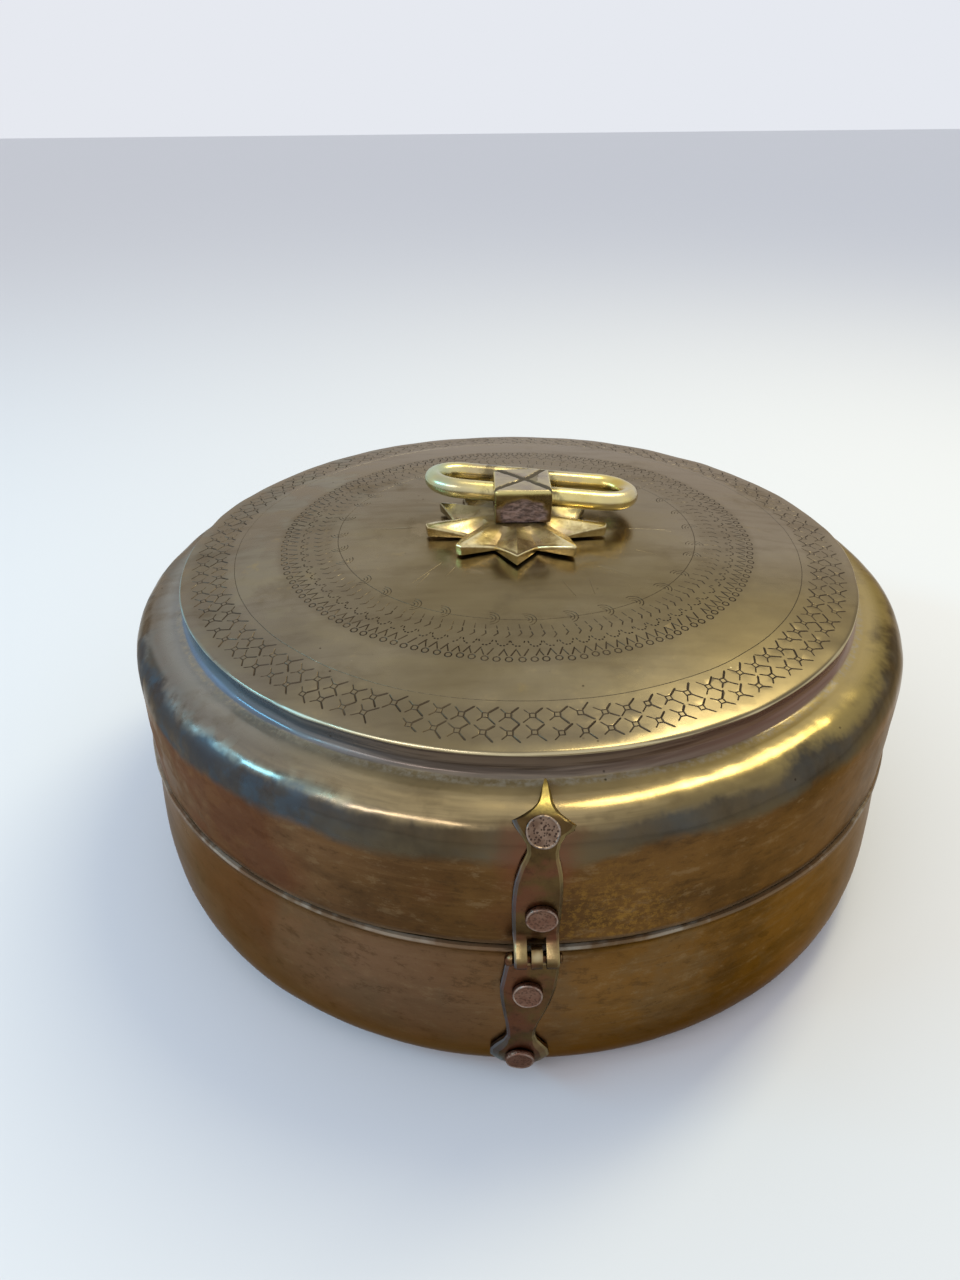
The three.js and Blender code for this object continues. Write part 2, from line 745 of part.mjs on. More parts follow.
// Holes for the staple's legs, at the staple's own height
function stapleCutters() {
  const radius = (stapleWireRadius + seatGap) / Math.cos(Math.PI / barSegments);
  const length = 2 * (lidSheet + roveThickness + cutOverrun);
  return [-1, 1].map((side) => new THREE.CylinderGeometry(radius, radius, length, barSegments)
    .translate(0, -(lidWallRadius - lidSheet), side * stapleSpacing / 2));
}

// A star of ridged petals: even meridians are ridges and odd ones are valleys.
function rosetteGeometry() {
  const geometry = revolve([
    [0, 0],
    [petalTipRadius, 0],
    [petalTipRadius, petalTipHeight],
    [hubRadius, hubHeight],
    [0, hubHeight],
  ], petals * 2);
  const position = geometry.getAttribute('position');
  for (let i = 0; i < position.count; i += 1) {
    const [x, y, z] = [position.getX(i), position.getY(i), position.getZ(i)];
    const radius = Math.hypot(x, y);
    const meridian = Math.round(Math.atan2(y, x) / (Math.PI / petals) + petals * 2.5);
    if (meridian % 2 === 0 || radius < hubRadius / 2) {
      continue;
    }
    const onTip = radius > (hubRadius + petalTipRadius) / 2;
    const scale = onTip ? petalValleyRadius / petalTipRadius : 1;
    const topHeight = onTip ? petalValleyHeight : hubHeight - hubGrooveDepth;
    position.setXYZ(i, x * scale, y * scale, z > 0 ? topHeight : z);
  }
  geometry.rotateZ(rosetteTurn);
  const hole = new THREE.CylinderGeometry(
    stemRadius + seatGap, stemRadius + seatGap, 2 * (hubHeight + cutOverrun), barSegments,
  );
  hole.rotateX(Math.PI / 2).translate(postShift, 0, 0);
  return toGeometry(cut(toSolid(geometry), [hole]));
}

// Heights of the handle's pieces, stacked on the dome
const rosetteZ = discTopZ + seatGap;
const postZ = rosetteZ + hubHeight + seatGap;
const washerZ = discTopZ - lidSheet - seatGap - washerThickness;
const ringPivot = new THREE.Vector3(postShift, crossHoleBack, postZ + crossHoleRise);

// The square post, its bevelled top, its cross hole, and its stem peened over the washer
function postGeometry() {
  const block = new THREE.BoxGeometry(postWidth, postDepth, postHeight, 2, 2, 2);
  const position = block.getAttribute('position');
  const inset = (value, half) => Math.sign(value) * (Math.abs(value) > half / 2 ? half - postBevel : 0);
  for (let i = 0; i < position.count; i += 1) {
    const [x, y, z] = [position.getX(i), position.getY(i), position.getZ(i)];
    if (z > postHeight / 4) {
      position.setXYZ(i, inset(x, postWidth / 2), inset(y, postDepth / 2), z);
    } else if (Math.abs(z) < postHeight / 4) {
      position.setZ(i, postHeight / 2 - postBevel);
    }
  }
  block.translate(0, 0, postHeight / 2);
  const stemBottom = washerZ - seatGap - stemPeenHeight - postZ;
  const stem = revolve([
    [0, stemBottom],
    [stemPeenRadius * peenFlatShare, stemBottom],
    [stemPeenRadius, stemBottom + stemPeenHeight / 2],
    [stemPeenRadius, stemBottom + stemPeenHeight],
    [stemRadius, stemBottom + stemPeenHeight],
    [stemRadius, (crossHoleRise - crossHoleRadius) / 2],
    [0, (crossHoleRise - crossHoleRadius) / 2],
  ], barSegments);
  const hole = new THREE.CylinderGeometry(
    crossHoleRadius, crossHoleRadius, postWidth + 2 * cutOverrun, 2 * barSegments,
  );
  hole.rotateZ(Math.PI / 2).translate(0, crossHoleBack, crossHoleRise);
  return toGeometry(cut(toSolid(block).add(toSolid(stem)), [hole]));
}

function washerGeometry() {
  const inner = stemRadius + seatGap;
  return toGeometry(toSolid(revolve([
    [inner, 0], [washerRadius, 0], [washerRadius, washerThickness], [inner, washerThickness], [inner, 0],
  ], barSegments * 2)));
}

// A long link: a torus parted at its middle, with straight bars between the halves.
function ringGeometry() {
  const bendSegments = 24;
  const bendRadius = ringPitch / 2 / Math.cos(Math.PI / bendSegments);
  const torus = new THREE.TorusGeometry(bendRadius, ringBarRadius, barSegments, bendSegments);
  torus.rotateZ(Math.PI / bendSegments);
  const straight = ringLength - 2 * (ringPitch / 2 + ringBarRadius);
  const position = torus.getAttribute('position');
  for (let i = 0; i < position.count; i += 1) {
    position.setX(i, position.getX(i) + Math.sign(position.getX(i)) * straight / 2);
  }
  torus.translate(ringSlide, ringPitch / 2, 0);
  return toGeometry(toSolid(torus));
}

// At rest the ring lies back, its far bar on the petals' ridges
const ridgeDrop = (hubHeight - petalTipHeight) / (petalTipRadius - hubRadius);
const ridgeZ = rosetteZ + hubHeight - ridgeDrop * (ringPitch + crossHoleBack - hubRadius);
const ringFall = ringPivot.z - ringBarRadius - ridgeZ - seatGap
  - Math.sin(ringRoll) * (petalValleyRadius / 2);
const ringDroop = -Math.asin(ringFall / ringPitch);

// Body
const body = new THREE.Group();
const bodyCutters = [front, rear].flatMap((side) => rivetHoles(bodyRivets, side));
body.add(piece('body_shell', bodyShellGeometry(bodyCutters), 'wallBrass'));
body.add(piece('body_collar', collarGeometry(), 'innerBrass'));

// The hinge's and the hasp's fittings on the body are the same, on opposite sides
for (const [side, label] of [[front, 'hinge'], [rear, 'hasp']]) {
  const fitting = new THREE.Group();
  fitting.rotation.z = side;
  fitting.add(piece(`${label}_body_strap`, bodyStrapGeometry(), 'strapBrass'));
  const pin = piece(`${label}_pin`, pinGeometry(), 'strapBrass');
  pin.position.set(0, -pinOut, pinZ);
  fitting.add(pin);
  addRivets(fitting, `${label}_body`, bodyRivets);
  body.add(fitting);
}

// Hasp, turned down from its shut place to where it hangs
const hasp = new THREE.Group();
hasp.rotation.z = rear;
const haspSwing = new THREE.Group();
haspSwing.position.set(0, -pinOut, pinZ);
haspSwing.rotation.x = haspHang;
haspSwing.add(piece('hasp', toGeometry(haspSolid()).translate(0, pinOut, -pinZ), 'strapBrass'));
hasp.add(haspSwing);

// Lid
const lid = new THREE.Group();
const stapleZ = pinZ + stapleRise;
const stemHole = new THREE.CylinderGeometry(
  stemRadius + seatGap, stemRadius + seatGap, 2 * (lidSheet + cutOverrun), barSegments,
);
stemHole.rotateX(Math.PI / 2).translate(postShift, 0, discTopZ);
const lidCutters = [
  ...rivetHoles(lidRivets, front),
  stemHole,
  ...stapleCutters().map((cutter) => cutter.translate(0, 0, stapleZ).rotateZ(rear)),
];
lid.add(piece('lid_shell', lidShellGeometry(lidCutters), 'darkBrass'));
lid.add(piece('hinge_lid_strap', lidStrapGeometry(), 'strapBrass'));
addRivets(lid, 'hinge_lid', lidRivets);
const stapleMount = new THREE.Group();
stapleMount.rotation.z = rear;
stapleMount.position.z = stapleZ;
stapleMount.add(piece('staple', stapleGeometry(), 'strapBrass'));
stapleMount.add(piece('staple_rove', rovePlateGeometry(), 'innerBrass'));
lid.add(stapleMount);

// Handle
const rosette = piece('rosette', rosetteGeometry(), 'castBrass');
rosette.position.z = rosetteZ;
const post = piece('handle_post', postGeometry(), 'castBrass');
post.position.set(postShift, 0, postZ);
const washer = piece('handle_washer', washerGeometry(), 'innerBrass');
washer.position.set(postShift, 0, washerZ);
const ring = new THREE.Group();
ring.position.copy(ringPivot);
ring.rotation.set(ringDroop, ringRoll, ringYaw, 'ZYX');
ring.add(piece('handle_ring', ringGeometry(), 'polishedBrass'));
lid.add(rosette, post, washer, ring);

const breadBox = new THREE.Group();
breadBox.add(body, hasp, lid);

export default breadBox;
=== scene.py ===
import json
import random
from contextlib import contextmanager
from math import asin, atan2, ceil, cos, hypot, pi, radians, sin, sqrt

import bmesh
import bpy
from mathutils import Matrix, Vector, noise
from mathutils.geometry import delaunay_2d_cdt
from mathutils.kdtree import KDTree


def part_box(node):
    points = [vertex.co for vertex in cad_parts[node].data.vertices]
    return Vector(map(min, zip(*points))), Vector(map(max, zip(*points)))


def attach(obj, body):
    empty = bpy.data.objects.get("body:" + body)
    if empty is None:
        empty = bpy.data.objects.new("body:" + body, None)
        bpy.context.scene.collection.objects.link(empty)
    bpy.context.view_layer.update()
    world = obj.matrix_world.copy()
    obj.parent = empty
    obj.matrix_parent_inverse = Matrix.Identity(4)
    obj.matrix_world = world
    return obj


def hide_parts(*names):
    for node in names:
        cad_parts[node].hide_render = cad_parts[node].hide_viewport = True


# A round brass bread box, beaten, engraved and darkened with age. Sizes are in millimetres,
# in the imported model's frame, and become metres when a mesh is made.
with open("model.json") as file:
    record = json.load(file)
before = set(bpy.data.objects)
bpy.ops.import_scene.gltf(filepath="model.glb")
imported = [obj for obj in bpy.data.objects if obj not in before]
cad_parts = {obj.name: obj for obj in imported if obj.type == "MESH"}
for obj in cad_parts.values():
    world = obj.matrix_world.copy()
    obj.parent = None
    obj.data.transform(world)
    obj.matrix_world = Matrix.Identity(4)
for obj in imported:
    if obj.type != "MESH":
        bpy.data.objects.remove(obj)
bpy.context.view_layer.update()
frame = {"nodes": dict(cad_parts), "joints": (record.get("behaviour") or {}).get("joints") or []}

MM = 0.001


def node_box(node):
    low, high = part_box(node)
    return low / MM, high / MM


lid_low, lid_high = node_box("lid_shell")
body_high = node_box("body_shell")[1]
joints = {joint["name"]: joint for joint in frame["joints"]}

# Sheet work
SHEET = 1.2
SEAT_GAP = 0.3
RIM_RADIUS = lid_high.x + 0.6
RIM_Z = body_high.z
BELLY_RADIUS = body_high.x
BELLY_HEIGHT = 25
BASE_CORNER_REACH = 14.6
LIP_HEIGHT = 2.4
LIP_OUT = 0.6
COLLAR_JOG = 1.5
COLLAR_LEAD = 0.7
SHOULDER_REACH = 20.3
SHOULDER_HEIGHT = 19.2
SHOULDER_POWER = 3.3
CORNER_POWER = 2.4
STEP_HEIGHT = 9.4
STEP_UNDERCUT = 1.3
DISC_RISE = 9.4
DOME_POWER = 2.5
ROUND_STEPS = 300

WALL_RADIUS = lid_high.x
LID_RIM_Z = lid_low.z
DISC_TOP_Z = lid_high.z
GROOVE_RADIUS = WALL_RADIUS - SHOULDER_REACH
DISC_RADIUS = GROOVE_RADIUS + STEP_UNDERCUT
DISC_Z = DISC_TOP_Z - DISC_RISE
GROOVE_Z = DISC_Z - STEP_HEIGHT
WALL_TOP_Z = GROOVE_Z - SHOULDER_HEIGHT
DISC_FLAT_RADIUS = DISC_RADIUS - 1.3
UNDER_DISC_RADIUS = DISC_FLAT_RADIUS - 2
STEM_HOLE_RADIUS = 4.8
STEM_HOLE_STEPS = 24
POST_SHIFT = 2.3

# The disc's rolled rim and the step under it, as ways out from its edge and down from its rim
STEP_LINE = [
    (-0.7, -0.05), (-0.25, 0.2), (0, 0.6), (-0.1, 1.1), (-0.5, 1.9), (-1.1, 3.4),
    (-1.45, 5.2), (-1.4, 6.6), (-0.9, 7.7), (-0.1, 8.5), (0.8, 8.95), (1.4, 9.05),
]

# Straps
STRAP_THICKNESS = 2.2
KNUCKLE_THICKNESS = 1.6
BEND_REACH = 2.5
BEND_SHARES = (0.15, 0.3, 0.45, 0.6, 0.75, 0.9, 1)
CURL_START = radians(120)
CURL_END = radians(325)
CURL_STEPS = 18
KNUCKLE_HALF_WIDTH = 6.5
TONGUE_HALF_WIDTH = 1.6
SLOT_HALF_WIDTH = 2.8
SLOT_TOP_RISE = 2.6
TONGUE_RISE = 0.5
PIN_RADIUS = 1.3
CURL_RADIUS = PIN_RADIUS + 0.3 + KNUCKLE_THICKNESS / 2
KNUCKLE_RADIUS = CURL_RADIUS + KNUCKLE_THICKNESS / 2
PIN_OUT = -joints["lid_hinge"]["pos_m"][1] / MM
PIN_Z = joints["lid_hinge"]["pos_m"][2] / MM
ROW_SPACING = 0.8
CHAMFER = 1.05
CHAMFER_DEPTH = 1.0
CURL_CHAMFER_LOSS = 0.35
CURL_DEPTH_LOSS = 0.45
MIDDLE_SPANS = (4, 5)

# Outlines from tip to knuckle or from knuckle to foot: how far along, left edge, right edge
LID_STRAP_LENGTH = 50.9
LID_STRAP_HALF_WIDTH = 8.7
LID_STRAP_SHARES = [
    (0, 0.29, 0.34), (0.067, 0.161, 0.431), (0.122, 0.092, 0.466), (0.169, -0.011, 0.506),
    (0.199, -0.19, 0.58), (0.228, -0.46, 0.713), (0.258, -0.828, 0.931), (0.287, -0.736, 1.184),
    (0.311, -0.632, 1.103), (0.332, -0.529, 0.851), (0.368, -0.391, 0.69), (0.407, -0.362, 0.621),
    (0.444, -0.443, 0.638), (0.486, -0.557, 0.69), (0.549, -0.655, 0.759), (0.606, -0.736, 0.793),
    (0.686, -0.787, 0.816), (0.775, -0.816, 0.816), (0.903, -0.81, 0.787), (1, -0.793, 0.759),
]
BODY_STRAP_LENGTH = 46.5
BODY_STRAP_HALF_WIDTH = 9.3
BODY_STRAP_SHARES = [
    (0, -0.957, 0.785), (0.088, -1.022, 0.758), (0.206, -1.118, 0.699), (0.29, -1.102, 0.608),
    (0.383, -1.048, 0.473), (0.454, -0.995, 0.333), (0.525, -0.935, 0.188), (0.6, -0.892, 0.081),
    (0.658, -0.882, 0.054), (0.71, -1, 0.129), (0.766, -1.247, 0.312), (0.819, -1.43, 0.495),
    (0.895, -1.441, 0.57), (0.948, -1.28, 0.452), (1, -1.097, 0.258),
]
WING_START_SHARE = 0.68
WING_FULL_SHARE = 0.8
WING_CHAMFER = 2.6
HASP_LENGTH = 32
HASP_HALF_WIDTH = 7.6
HASP_TIP_FLARE = 2
HASP_FLARE_LENGTH = 7
HASP_SHARES = [
    (0, -0.1, 0.1), (0.05, -0.36, 0.36), (0.11, -0.66, 0.66), (0.17, -0.93, 0.93),
    (0.23, -0.72, 0.72), (0.31, -0.6, 0.6), (0.42, -0.8, 0.8), (0.55, -1, 1), (0.8, -1, 1),
    (0.92, -0.92, 0.92), (1, -0.86, 0.86),
]
STAPLE_RADIUS = 1.4
STAPLE_HALF_SPACING = 4.25
STAPLE_OUT = 10.5
STAPLE_RISE = 20
STAPLE_BEND = 1.9
STAPLE_CLENCH = 1.9
STAPLE_SLOT_GAP = 1
ROVE_CORNER = 1.5
ROVE_HOLE_RADIUS = 1.7
ROVE_BEVEL = 0.25

# Rivets, each with its way from the strap's end and from the middle
RIVET_HEAD_RADIUS = 4.8
RIVET_HEAD_HEIGHT = 2
RIVET_SHANK_RADIUS = 2.4
RIVET_PEEN_RADIUS = 3.5
RIVET_PEEN_HEIGHT = 1.4
LID_RIVETS = {"upper": (15.8, 1.0), "lower": (7.1, 1.2)}
BODY_RIVETS = {"upper": (10.6, -2.1), "lower": (5.9, -4.0)}

# Handle, with each petal's angle, length and width of tip
PETALS = [
    (-91.5, 35.6, 0.25), (-54.5, 35.4, 1.4), (-17, 35.8, 3.0), (20, 30, 1.2), (54, 35.5, 1.0),
    (90, 35.5, 0.8), (126, 35.5, 1.0), (157, 32.6, 0.5), (194.5, 35.8, 3.6), (230, 34.6, 2.4),
]
PETAL_STEPS = 9
VALLEY_RADIUS = 24.6
HUB_RADIUS = 14
HUB_HEIGHT = 5.2
HUB_HOLE_RADIUS = 5
PETAL_TIP_HEIGHT = 4
VALLEY_HEIGHT = 1.5
HUB_VALLEY_DEPTH = 1.1
RIM_ROUND = [(-0.8, 0), (-0.5, 0.07), (-0.25, 0.25), (-0.08, 0.5), (-0.02, 0.85), (0, 1.6)]
POST_HALF = Vector((11, 11.5, 6.6))
POST_ROUNDING = 1.5
POST_GRID = 0.5
CROSS_HOLE_RADIUS = 5.2
CROSS_HOLE_BACK = 1.5
CROSS_HOLE_RISE = 6.4
STEM_RADIUS = 4.5
STEM_PEEN_RADIUS = 7
STEM_PEEN_HEIGHT = 2.2
RING_BAR_RADIUS = 3.7
RING_LENGTH = 85.5
RING_PITCH = 23.4
RING_SLIDE = 4.1
RING_DROOP = radians(-5.35)
RING_ROLL = radians(5)
RING_YAW = radians(-2.5)

# Depth, size and seed of the marks that hammering and casting left
LID_DENTS = [(0.32, 34, 1), (0.12, 13, 2)]
LID_WAVES = [(0.26, 45, 3), (0.24, 24, 14), (0.19, 12, 4), (0.08, 7, 17)]
BODY_WAVES = [(0.24, 50, 6), (0.16, 22, 16), (0.11, 11, 7)]
STRAP_DENTS = [(0.1, 5, 12), (0.05, 2.2, 13)]
ROSETTE_DENTS = [(0.06, 4, 41), (0.05, 1.6, 42)]
HOLLOW_EDGE_DENTS = [(0.1, 2.4, 52), (0.05, 1, 53)]
POST_DENTS = [(0.12, 7, 54), (0.05, 2.5, 55)]
HOLLOW_DENTS = [(0.3, 1.6, 56), (0.2, 0.8, 57)]
RING_DENTS = [(0.03, 14, 71), (0.012, 4, 72)]


def lumps(point, size, seed=0.0):
    """Smooth noise from -1 to 1 with lumps of about that size, at a point."""
    return noise.noise(Vector(point) / size + Vector((seed, 2 * seed, 3 * seed)))


def uneven(point, layers):
    return sum(depth * lumps(point, size, seed) for depth, size, seed in layers)


def smooth_step(low, high, value):
    share = min(1, max(0, (value - low) / (high - low)))
    return share * share * (3 - 2 * share)


def mean(values):
    first, *others = values
    return sum(others, first) / (len(others) + 1)


def polar(radius, angle, *height):
    """A point that far from the axis and that far round it."""
    return Vector((radius * cos(angle), radius * sin(angle), *height))


def placed_by_axes(place, x_axis, y_axis, z_axis):
    return Matrix.Translation(place) @ Matrix((x_axis, y_axis, z_axis)).transposed().to_4x4()


def placed_by_turns(place, *turns):
    """A place's matrix, turned about its own axes by each angle and axis in order."""
    matrix = Matrix.Translation(place)
    for angle, axis in turns:
        matrix = matrix @ Matrix.Rotation(angle, 4, axis)
    return matrix


def neighbours(items, i, closed=False):
    """What lies before and after an item. At an open end, the item itself."""
    if closed:
        return items[i - 1], items[(i + 1) % len(items)]
    return items[max(i - 1, 0)], items[min(i + 1, len(items) - 1)]


class Shape:
    """Points and faces gathered for one piece, in millimetres, with a mark on each face."""

    def __init__(self):
        self.points = []
        self.faces = []
        self.marks = []

    def add(self, points):
        start = len(self.points)
        self.points.extend(Vector(point) for point in points)
        return list(range(start, len(self.points)))

    def face(self, corners, mark=0.0):
        self.faces.append(tuple(corners))
        self.marks.append(mark)

    def bridge(self, near, far, closed=True, mark=0.0):
        """Quads between two rows of the same length. Seen with near below, they face the viewer."""
        last = len(near) if closed else len(near) - 1
        for i in range(last):
            j = (i + 1) % len(near)
            self.face((near[i], near[j], far[j], far[i]), mark)

    def skin(self, rows, closed=True, joined=False):
        """Quads along all the rows, and from the last to the first if they are joined."""
        for near, far in zip(rows, rows[1:] + rows[:1] if joined else rows[1:]):
            self.bridge(near, far, closed)

    def cap(self, rows, first_tip, last_tip):
        """Closes the first and the last row, each by triangles round its tip."""
        for ring, tip in ((rows[0][::-1], first_tip), (rows[-1], last_tip)):
            centre = self.add([tip])[0]
            for near, far in zip(ring, ring[1:] + ring[:1]):
                self.face((near, far, centre))

    def mark_faces(self, mark_of):
        """Marks each face by its corners."""
        self.marks = [mark_of([self.points[k] for k in face]) for face in self.faces]

    def moved(self, change):
        self.points = [change(point) for point in self.points]
        return self

    def turned(self, matrix):
        return self.moved(lambda point: matrix @ point)

    def pruned(self):
        """Leaves out the points that no face uses."""
        used = sorted({corner for face in self.faces for corner in face})
        places = {old: new for new, old in enumerate(used)}
        self.points = [self.points[old] for old in used]
        self.faces = [tuple(places[corner] for corner in face) for face in self.faces]
        return self

    def mesh(self, name):
        made = bpy.data.meshes.new(name)
        made.from_pydata([point * MM for point in self.points], [], self.faces)
        return made


@contextmanager
def edited(mesh):
    bm = bmesh.new()
    bm.from_mesh(mesh)
    yield bm
    bm.to_mesh(mesh)
    bm.free()


def linked(name, data):
    made = bpy.data.objects.new(name, data)
    bpy.context.scene.collection.objects.link(made)
    return made


def make_piece(shape, node, ending, body, finish, sharp_angle=35, mark_name="worn"):
    """Turns a shape into a piece that rides on a body and stands for a CAD node."""
    mesh = shape.mesh(f"{node}_{ending}")
    marks = mesh.attributes.new(mark_name, "FLOAT", "FACE")
    marks.data.foreach_set("value", shape.marks)
    mesh.validate()
    with edited(mesh) as bm:
        bmesh.ops.recalc_face_normals(bm, faces=bm.faces)
    mesh.shade_smooth()
    mesh.set_sharp_from_angle(angle=radians(sharp_angle))
    if mark_name == "engraved":
        crease_marked(mesh, mark_name)
    mesh.materials.append(materials[finish])
    piece = linked(mesh.name, mesh)
    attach(piece, body)
    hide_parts(node)


def crease_marked(mesh, mark_name):
    """Makes the edges between marked and unmarked faces sharp."""
    with edited(mesh) as bm:
        layer = bm.faces.layers.float[mark_name]
        for edge in bm.edges:
            marked = [face[layer] > 0 for face in edge.link_faces]
            if any(marked) and not all(marked):
                edge.smooth = False


def round_row(radius, height, steps=ROUND_STEPS):
    return [polar(radius, 2 * pi * i / steps, height) for i in range(steps)]


def revolve(shape, profile, steps=ROUND_STEPS, start=None, joined=False):
    """Rows of a profile of (radius, height), bridged, from a given first row if there is one."""
    rows = [] if start is None else [start]
    rows += [shape.add(round_row(radius, height, steps)) for radius, height in profile]
    shape.skin(rows, joined=joined)
    return rows


def rounded_corner(centre, across, up, power, steps, start=0.0):
    """A quarter of a rounded corner, from above its centre to beside it."""
    line = []
    for i in range(steps + 1):
        angle = pi / 2 * (start + (1 - start) * i / steps)
        line.append((
            centre[0] + across * sin(angle) ** (2 / power),
            centre[1] + up * cos(angle) ** (2 / power),
        ))
    return line


def offset_line(line, distance):
    """The line moved sideways, to the right of its run."""
    moved = []
    for i, (x, y) in enumerate(line):
        before, after = neighbours(line, i)
        run = Vector((after[0] - before[0], after[1] - before[1])).normalized()
        moved.append((x + run.y * distance, y - run.x * distance))
    return moved


class Run:
    """A line of (radius, height) points that can be asked for a place a given way along it."""

    def __init__(self, line):
        self.line = [Vector(point) for point in line]
        self.sums = [0.0]
        for a, b in zip(self.line, self.line[1:]):
            self.sums.append(self.sums[-1] + (b - a).length)

    def at(self, along):
        i = next((k for k, length in enumerate(self.sums) if length > along), len(self.sums) - 1)
        i = max(i, 1)
        share = (along - self.sums[i - 1]) / (self.sums[i] - self.sums[i - 1])
        step = self.line[i] - self.line[i - 1]
        return self.line[i - 1] + step * share, step.normalized()


# Sheet outlines


def dome_height(radius):
    return DISC_Z + DISC_RISE * (1 - min(1, radius / DISC_RADIUS) ** DOME_POWER)


def shoulder_line(steps, start=0.0):
    across = WALL_RADIUS - GROOVE_RADIUS
    centre = (GROOVE_RADIUS, WALL_TOP_Z)
    return rounded_corner(centre, across, SHOULDER_HEIGHT, SHOULDER_POWER, steps, start)


def body_outside(wall_steps, corner_steps):
    """The body's outside, from under its lip down to the edge of the flat base."""
    top = RIM_Z - LIP_HEIGHT
    wall = []
    for i in range(wall_steps):
        share = i / wall_steps
        swell = (1 - cos(pi * share)) / 2
        radius = RIM_RADIUS + (BELLY_RADIUS - RIM_RADIUS) * swell
        wall.append((radius, top - (top - BELLY_HEIGHT) * share))
    centre = (BELLY_RADIUS - BASE_CORNER_REACH, BELLY_HEIGHT)
    corner = rounded_corner(centre, BASE_CORNER_REACH, -BELLY_HEIGHT, CORNER_POWER, corner_steps)
    return wall + corner[::-1]


lid_run = Run([(WALL_RADIUS, LID_RIM_Z)] + shoulder_line(60)[::-1])
body_run = Run([(RIM_RADIUS, RIM_Z)] + body_outside(30, 40))


# Hand-beaten surfaces


def ripple(outward, count, seed, height=0.0):
    """Noise that changes about that many times round the box."""
    return lumps((*(outward * count).xy, height), 1, seed)


def off_straps(point):
    """How far a point is from the straps, whose seats were left smooth, from 0 to 1."""
    return smooth_step(12, 30, abs(point.x))


def beaten_lid(point):
    """Moves a point of the lid a little inwards and down, as hammering leaves it."""
    radius = hypot(point.x, point.y)
    outward = Vector((point.x, point.y, 0)).normalized() if radius > 0 else Vector()
    calm = off_straps(point)
    edge = smooth_step(DISC_RADIUS - 9, DISC_RADIUS - 1, radius)
    at_step = edge * smooth_step(GROOVE_Z - 10, GROOVE_Z - 1, point.z)
    wavy = ripple(outward, 4.2, 5, 0.2 * point.z / STEP_HEIGHT) + 0.5 * ripple(outward, 10, 9)
    inward = 0.12 + calm * uneven(point, LID_WAVES)
    inward += at_step * (0.3 + 0.42 * wavy) * (0.4 + 0.6 * calm)
    moved = point - outward * inward * smooth_step(20, DISC_RADIUS, radius)
    near_rosette = smooth_step(46, 38, radius) * smooth_step(22, 30, radius)
    dents = uneven(point, LID_DENTS) + near_rosette * (0.15 + 0.5 * max(0, lumps(point, 9, 10)))
    beyond = smooth_step(DISC_RADIUS, DISC_RADIUS + 3, radius)
    down = (0.34 + dents) * (1 - 0.6 * edge) + at_step * 0.35 * max(-0.5, wavy)
    down += beyond * 0.2 * lumps(point, 22, 15)
    moved.z -= down * smooth_step(LID_RIM_Z + 4, WALL_TOP_Z, point.z)
    return moved


def beaten_body(point):
    """Moves a point of the body or its collar a little inwards."""
    radius = hypot(point.x, point.y)
    if radius == 0:
        return point
    outward = Vector((point.x, point.y, 0)) / radius
    lip = smooth_step(RIM_Z - 4, RIM_Z - 1, point.z)
    inward = 0.14 + off_straps(point) * uneven(point, BODY_WAVES) + lip * 0.12 * ripple(outward, 12, 8)
    return point - outward * inward * smooth_step(60, 120, radius)


# Engraving


class Engraving:
    """V-shaped strokes cut in the disc, each with a line, a half width and a depth."""

    def __init__(self):
        self.strokes = []

    def stroke(self, line, half_width, depth, closed=False):
        line = [Vector(point) for point in line]
        if not closed:
            line = self.tapered(line, half_width)
        self.strokes.append((line, half_width, depth, closed))

    @staticmethod
    def tapered(line, half_width):
        """The line with a point added near each end, from which the stroke narrows to a tip."""
        first, last = line[1] - line[0], line[-2] - line[-1]
        after_start = line[0] + first * min(0.4, 1.5 * half_width / first.length)
        before_end = line[-1] + last * min(0.4, 1.5 * half_width / last.length)
        return [line[0], after_start] + line[1:-1] + [before_end, line[-1]]

    def outlines(self):
        """Loops round each stroke, and the line along its bottom."""
        loops = []
        lines = []
        for line, half, _, closed in self.strokes:
            left, right = [], []
            for i in range(len(line)) if closed else range(1, len(line) - 1):
                before, after = neighbours(line, i, closed)
                into = (line[i] - before).normalized()
                run = (into + (after - line[i]).normalized()).normalized()
                side = Vector((-run.y, run.x)) * (half / max(0.6, abs(run.dot(into))))
                left.append(line[i] + side)
                right.append(line[i] - side)
            if closed:
                loops += [left, right, line]
            else:
                loops.append([line[0]] + left + [line[-1]] + right[::-1])
                lines.append(line[1:-1])
        return loops, lines


def in_place(radius, angle, along, inward):
    """A point near a place on a circle, moved along the circle and towards its centre."""
    radial = polar(1, angle)
    return radial * (radius - inward) + Vector((-radial.y, radial.x)) * along


def arc_points(radius, angle, centre_inward, size, start, end, steps, tall=1.0):
    """Points of a small arc near a place on a circle, drawn out towards its centre if tall."""
    turns = [start + (end - start) * i / steps for i in range(steps + 1)]
    return [
        in_place(radius, angle, size * cos(turn), centre_inward + tall * size * sin(turn))
        for turn in turns
    ]


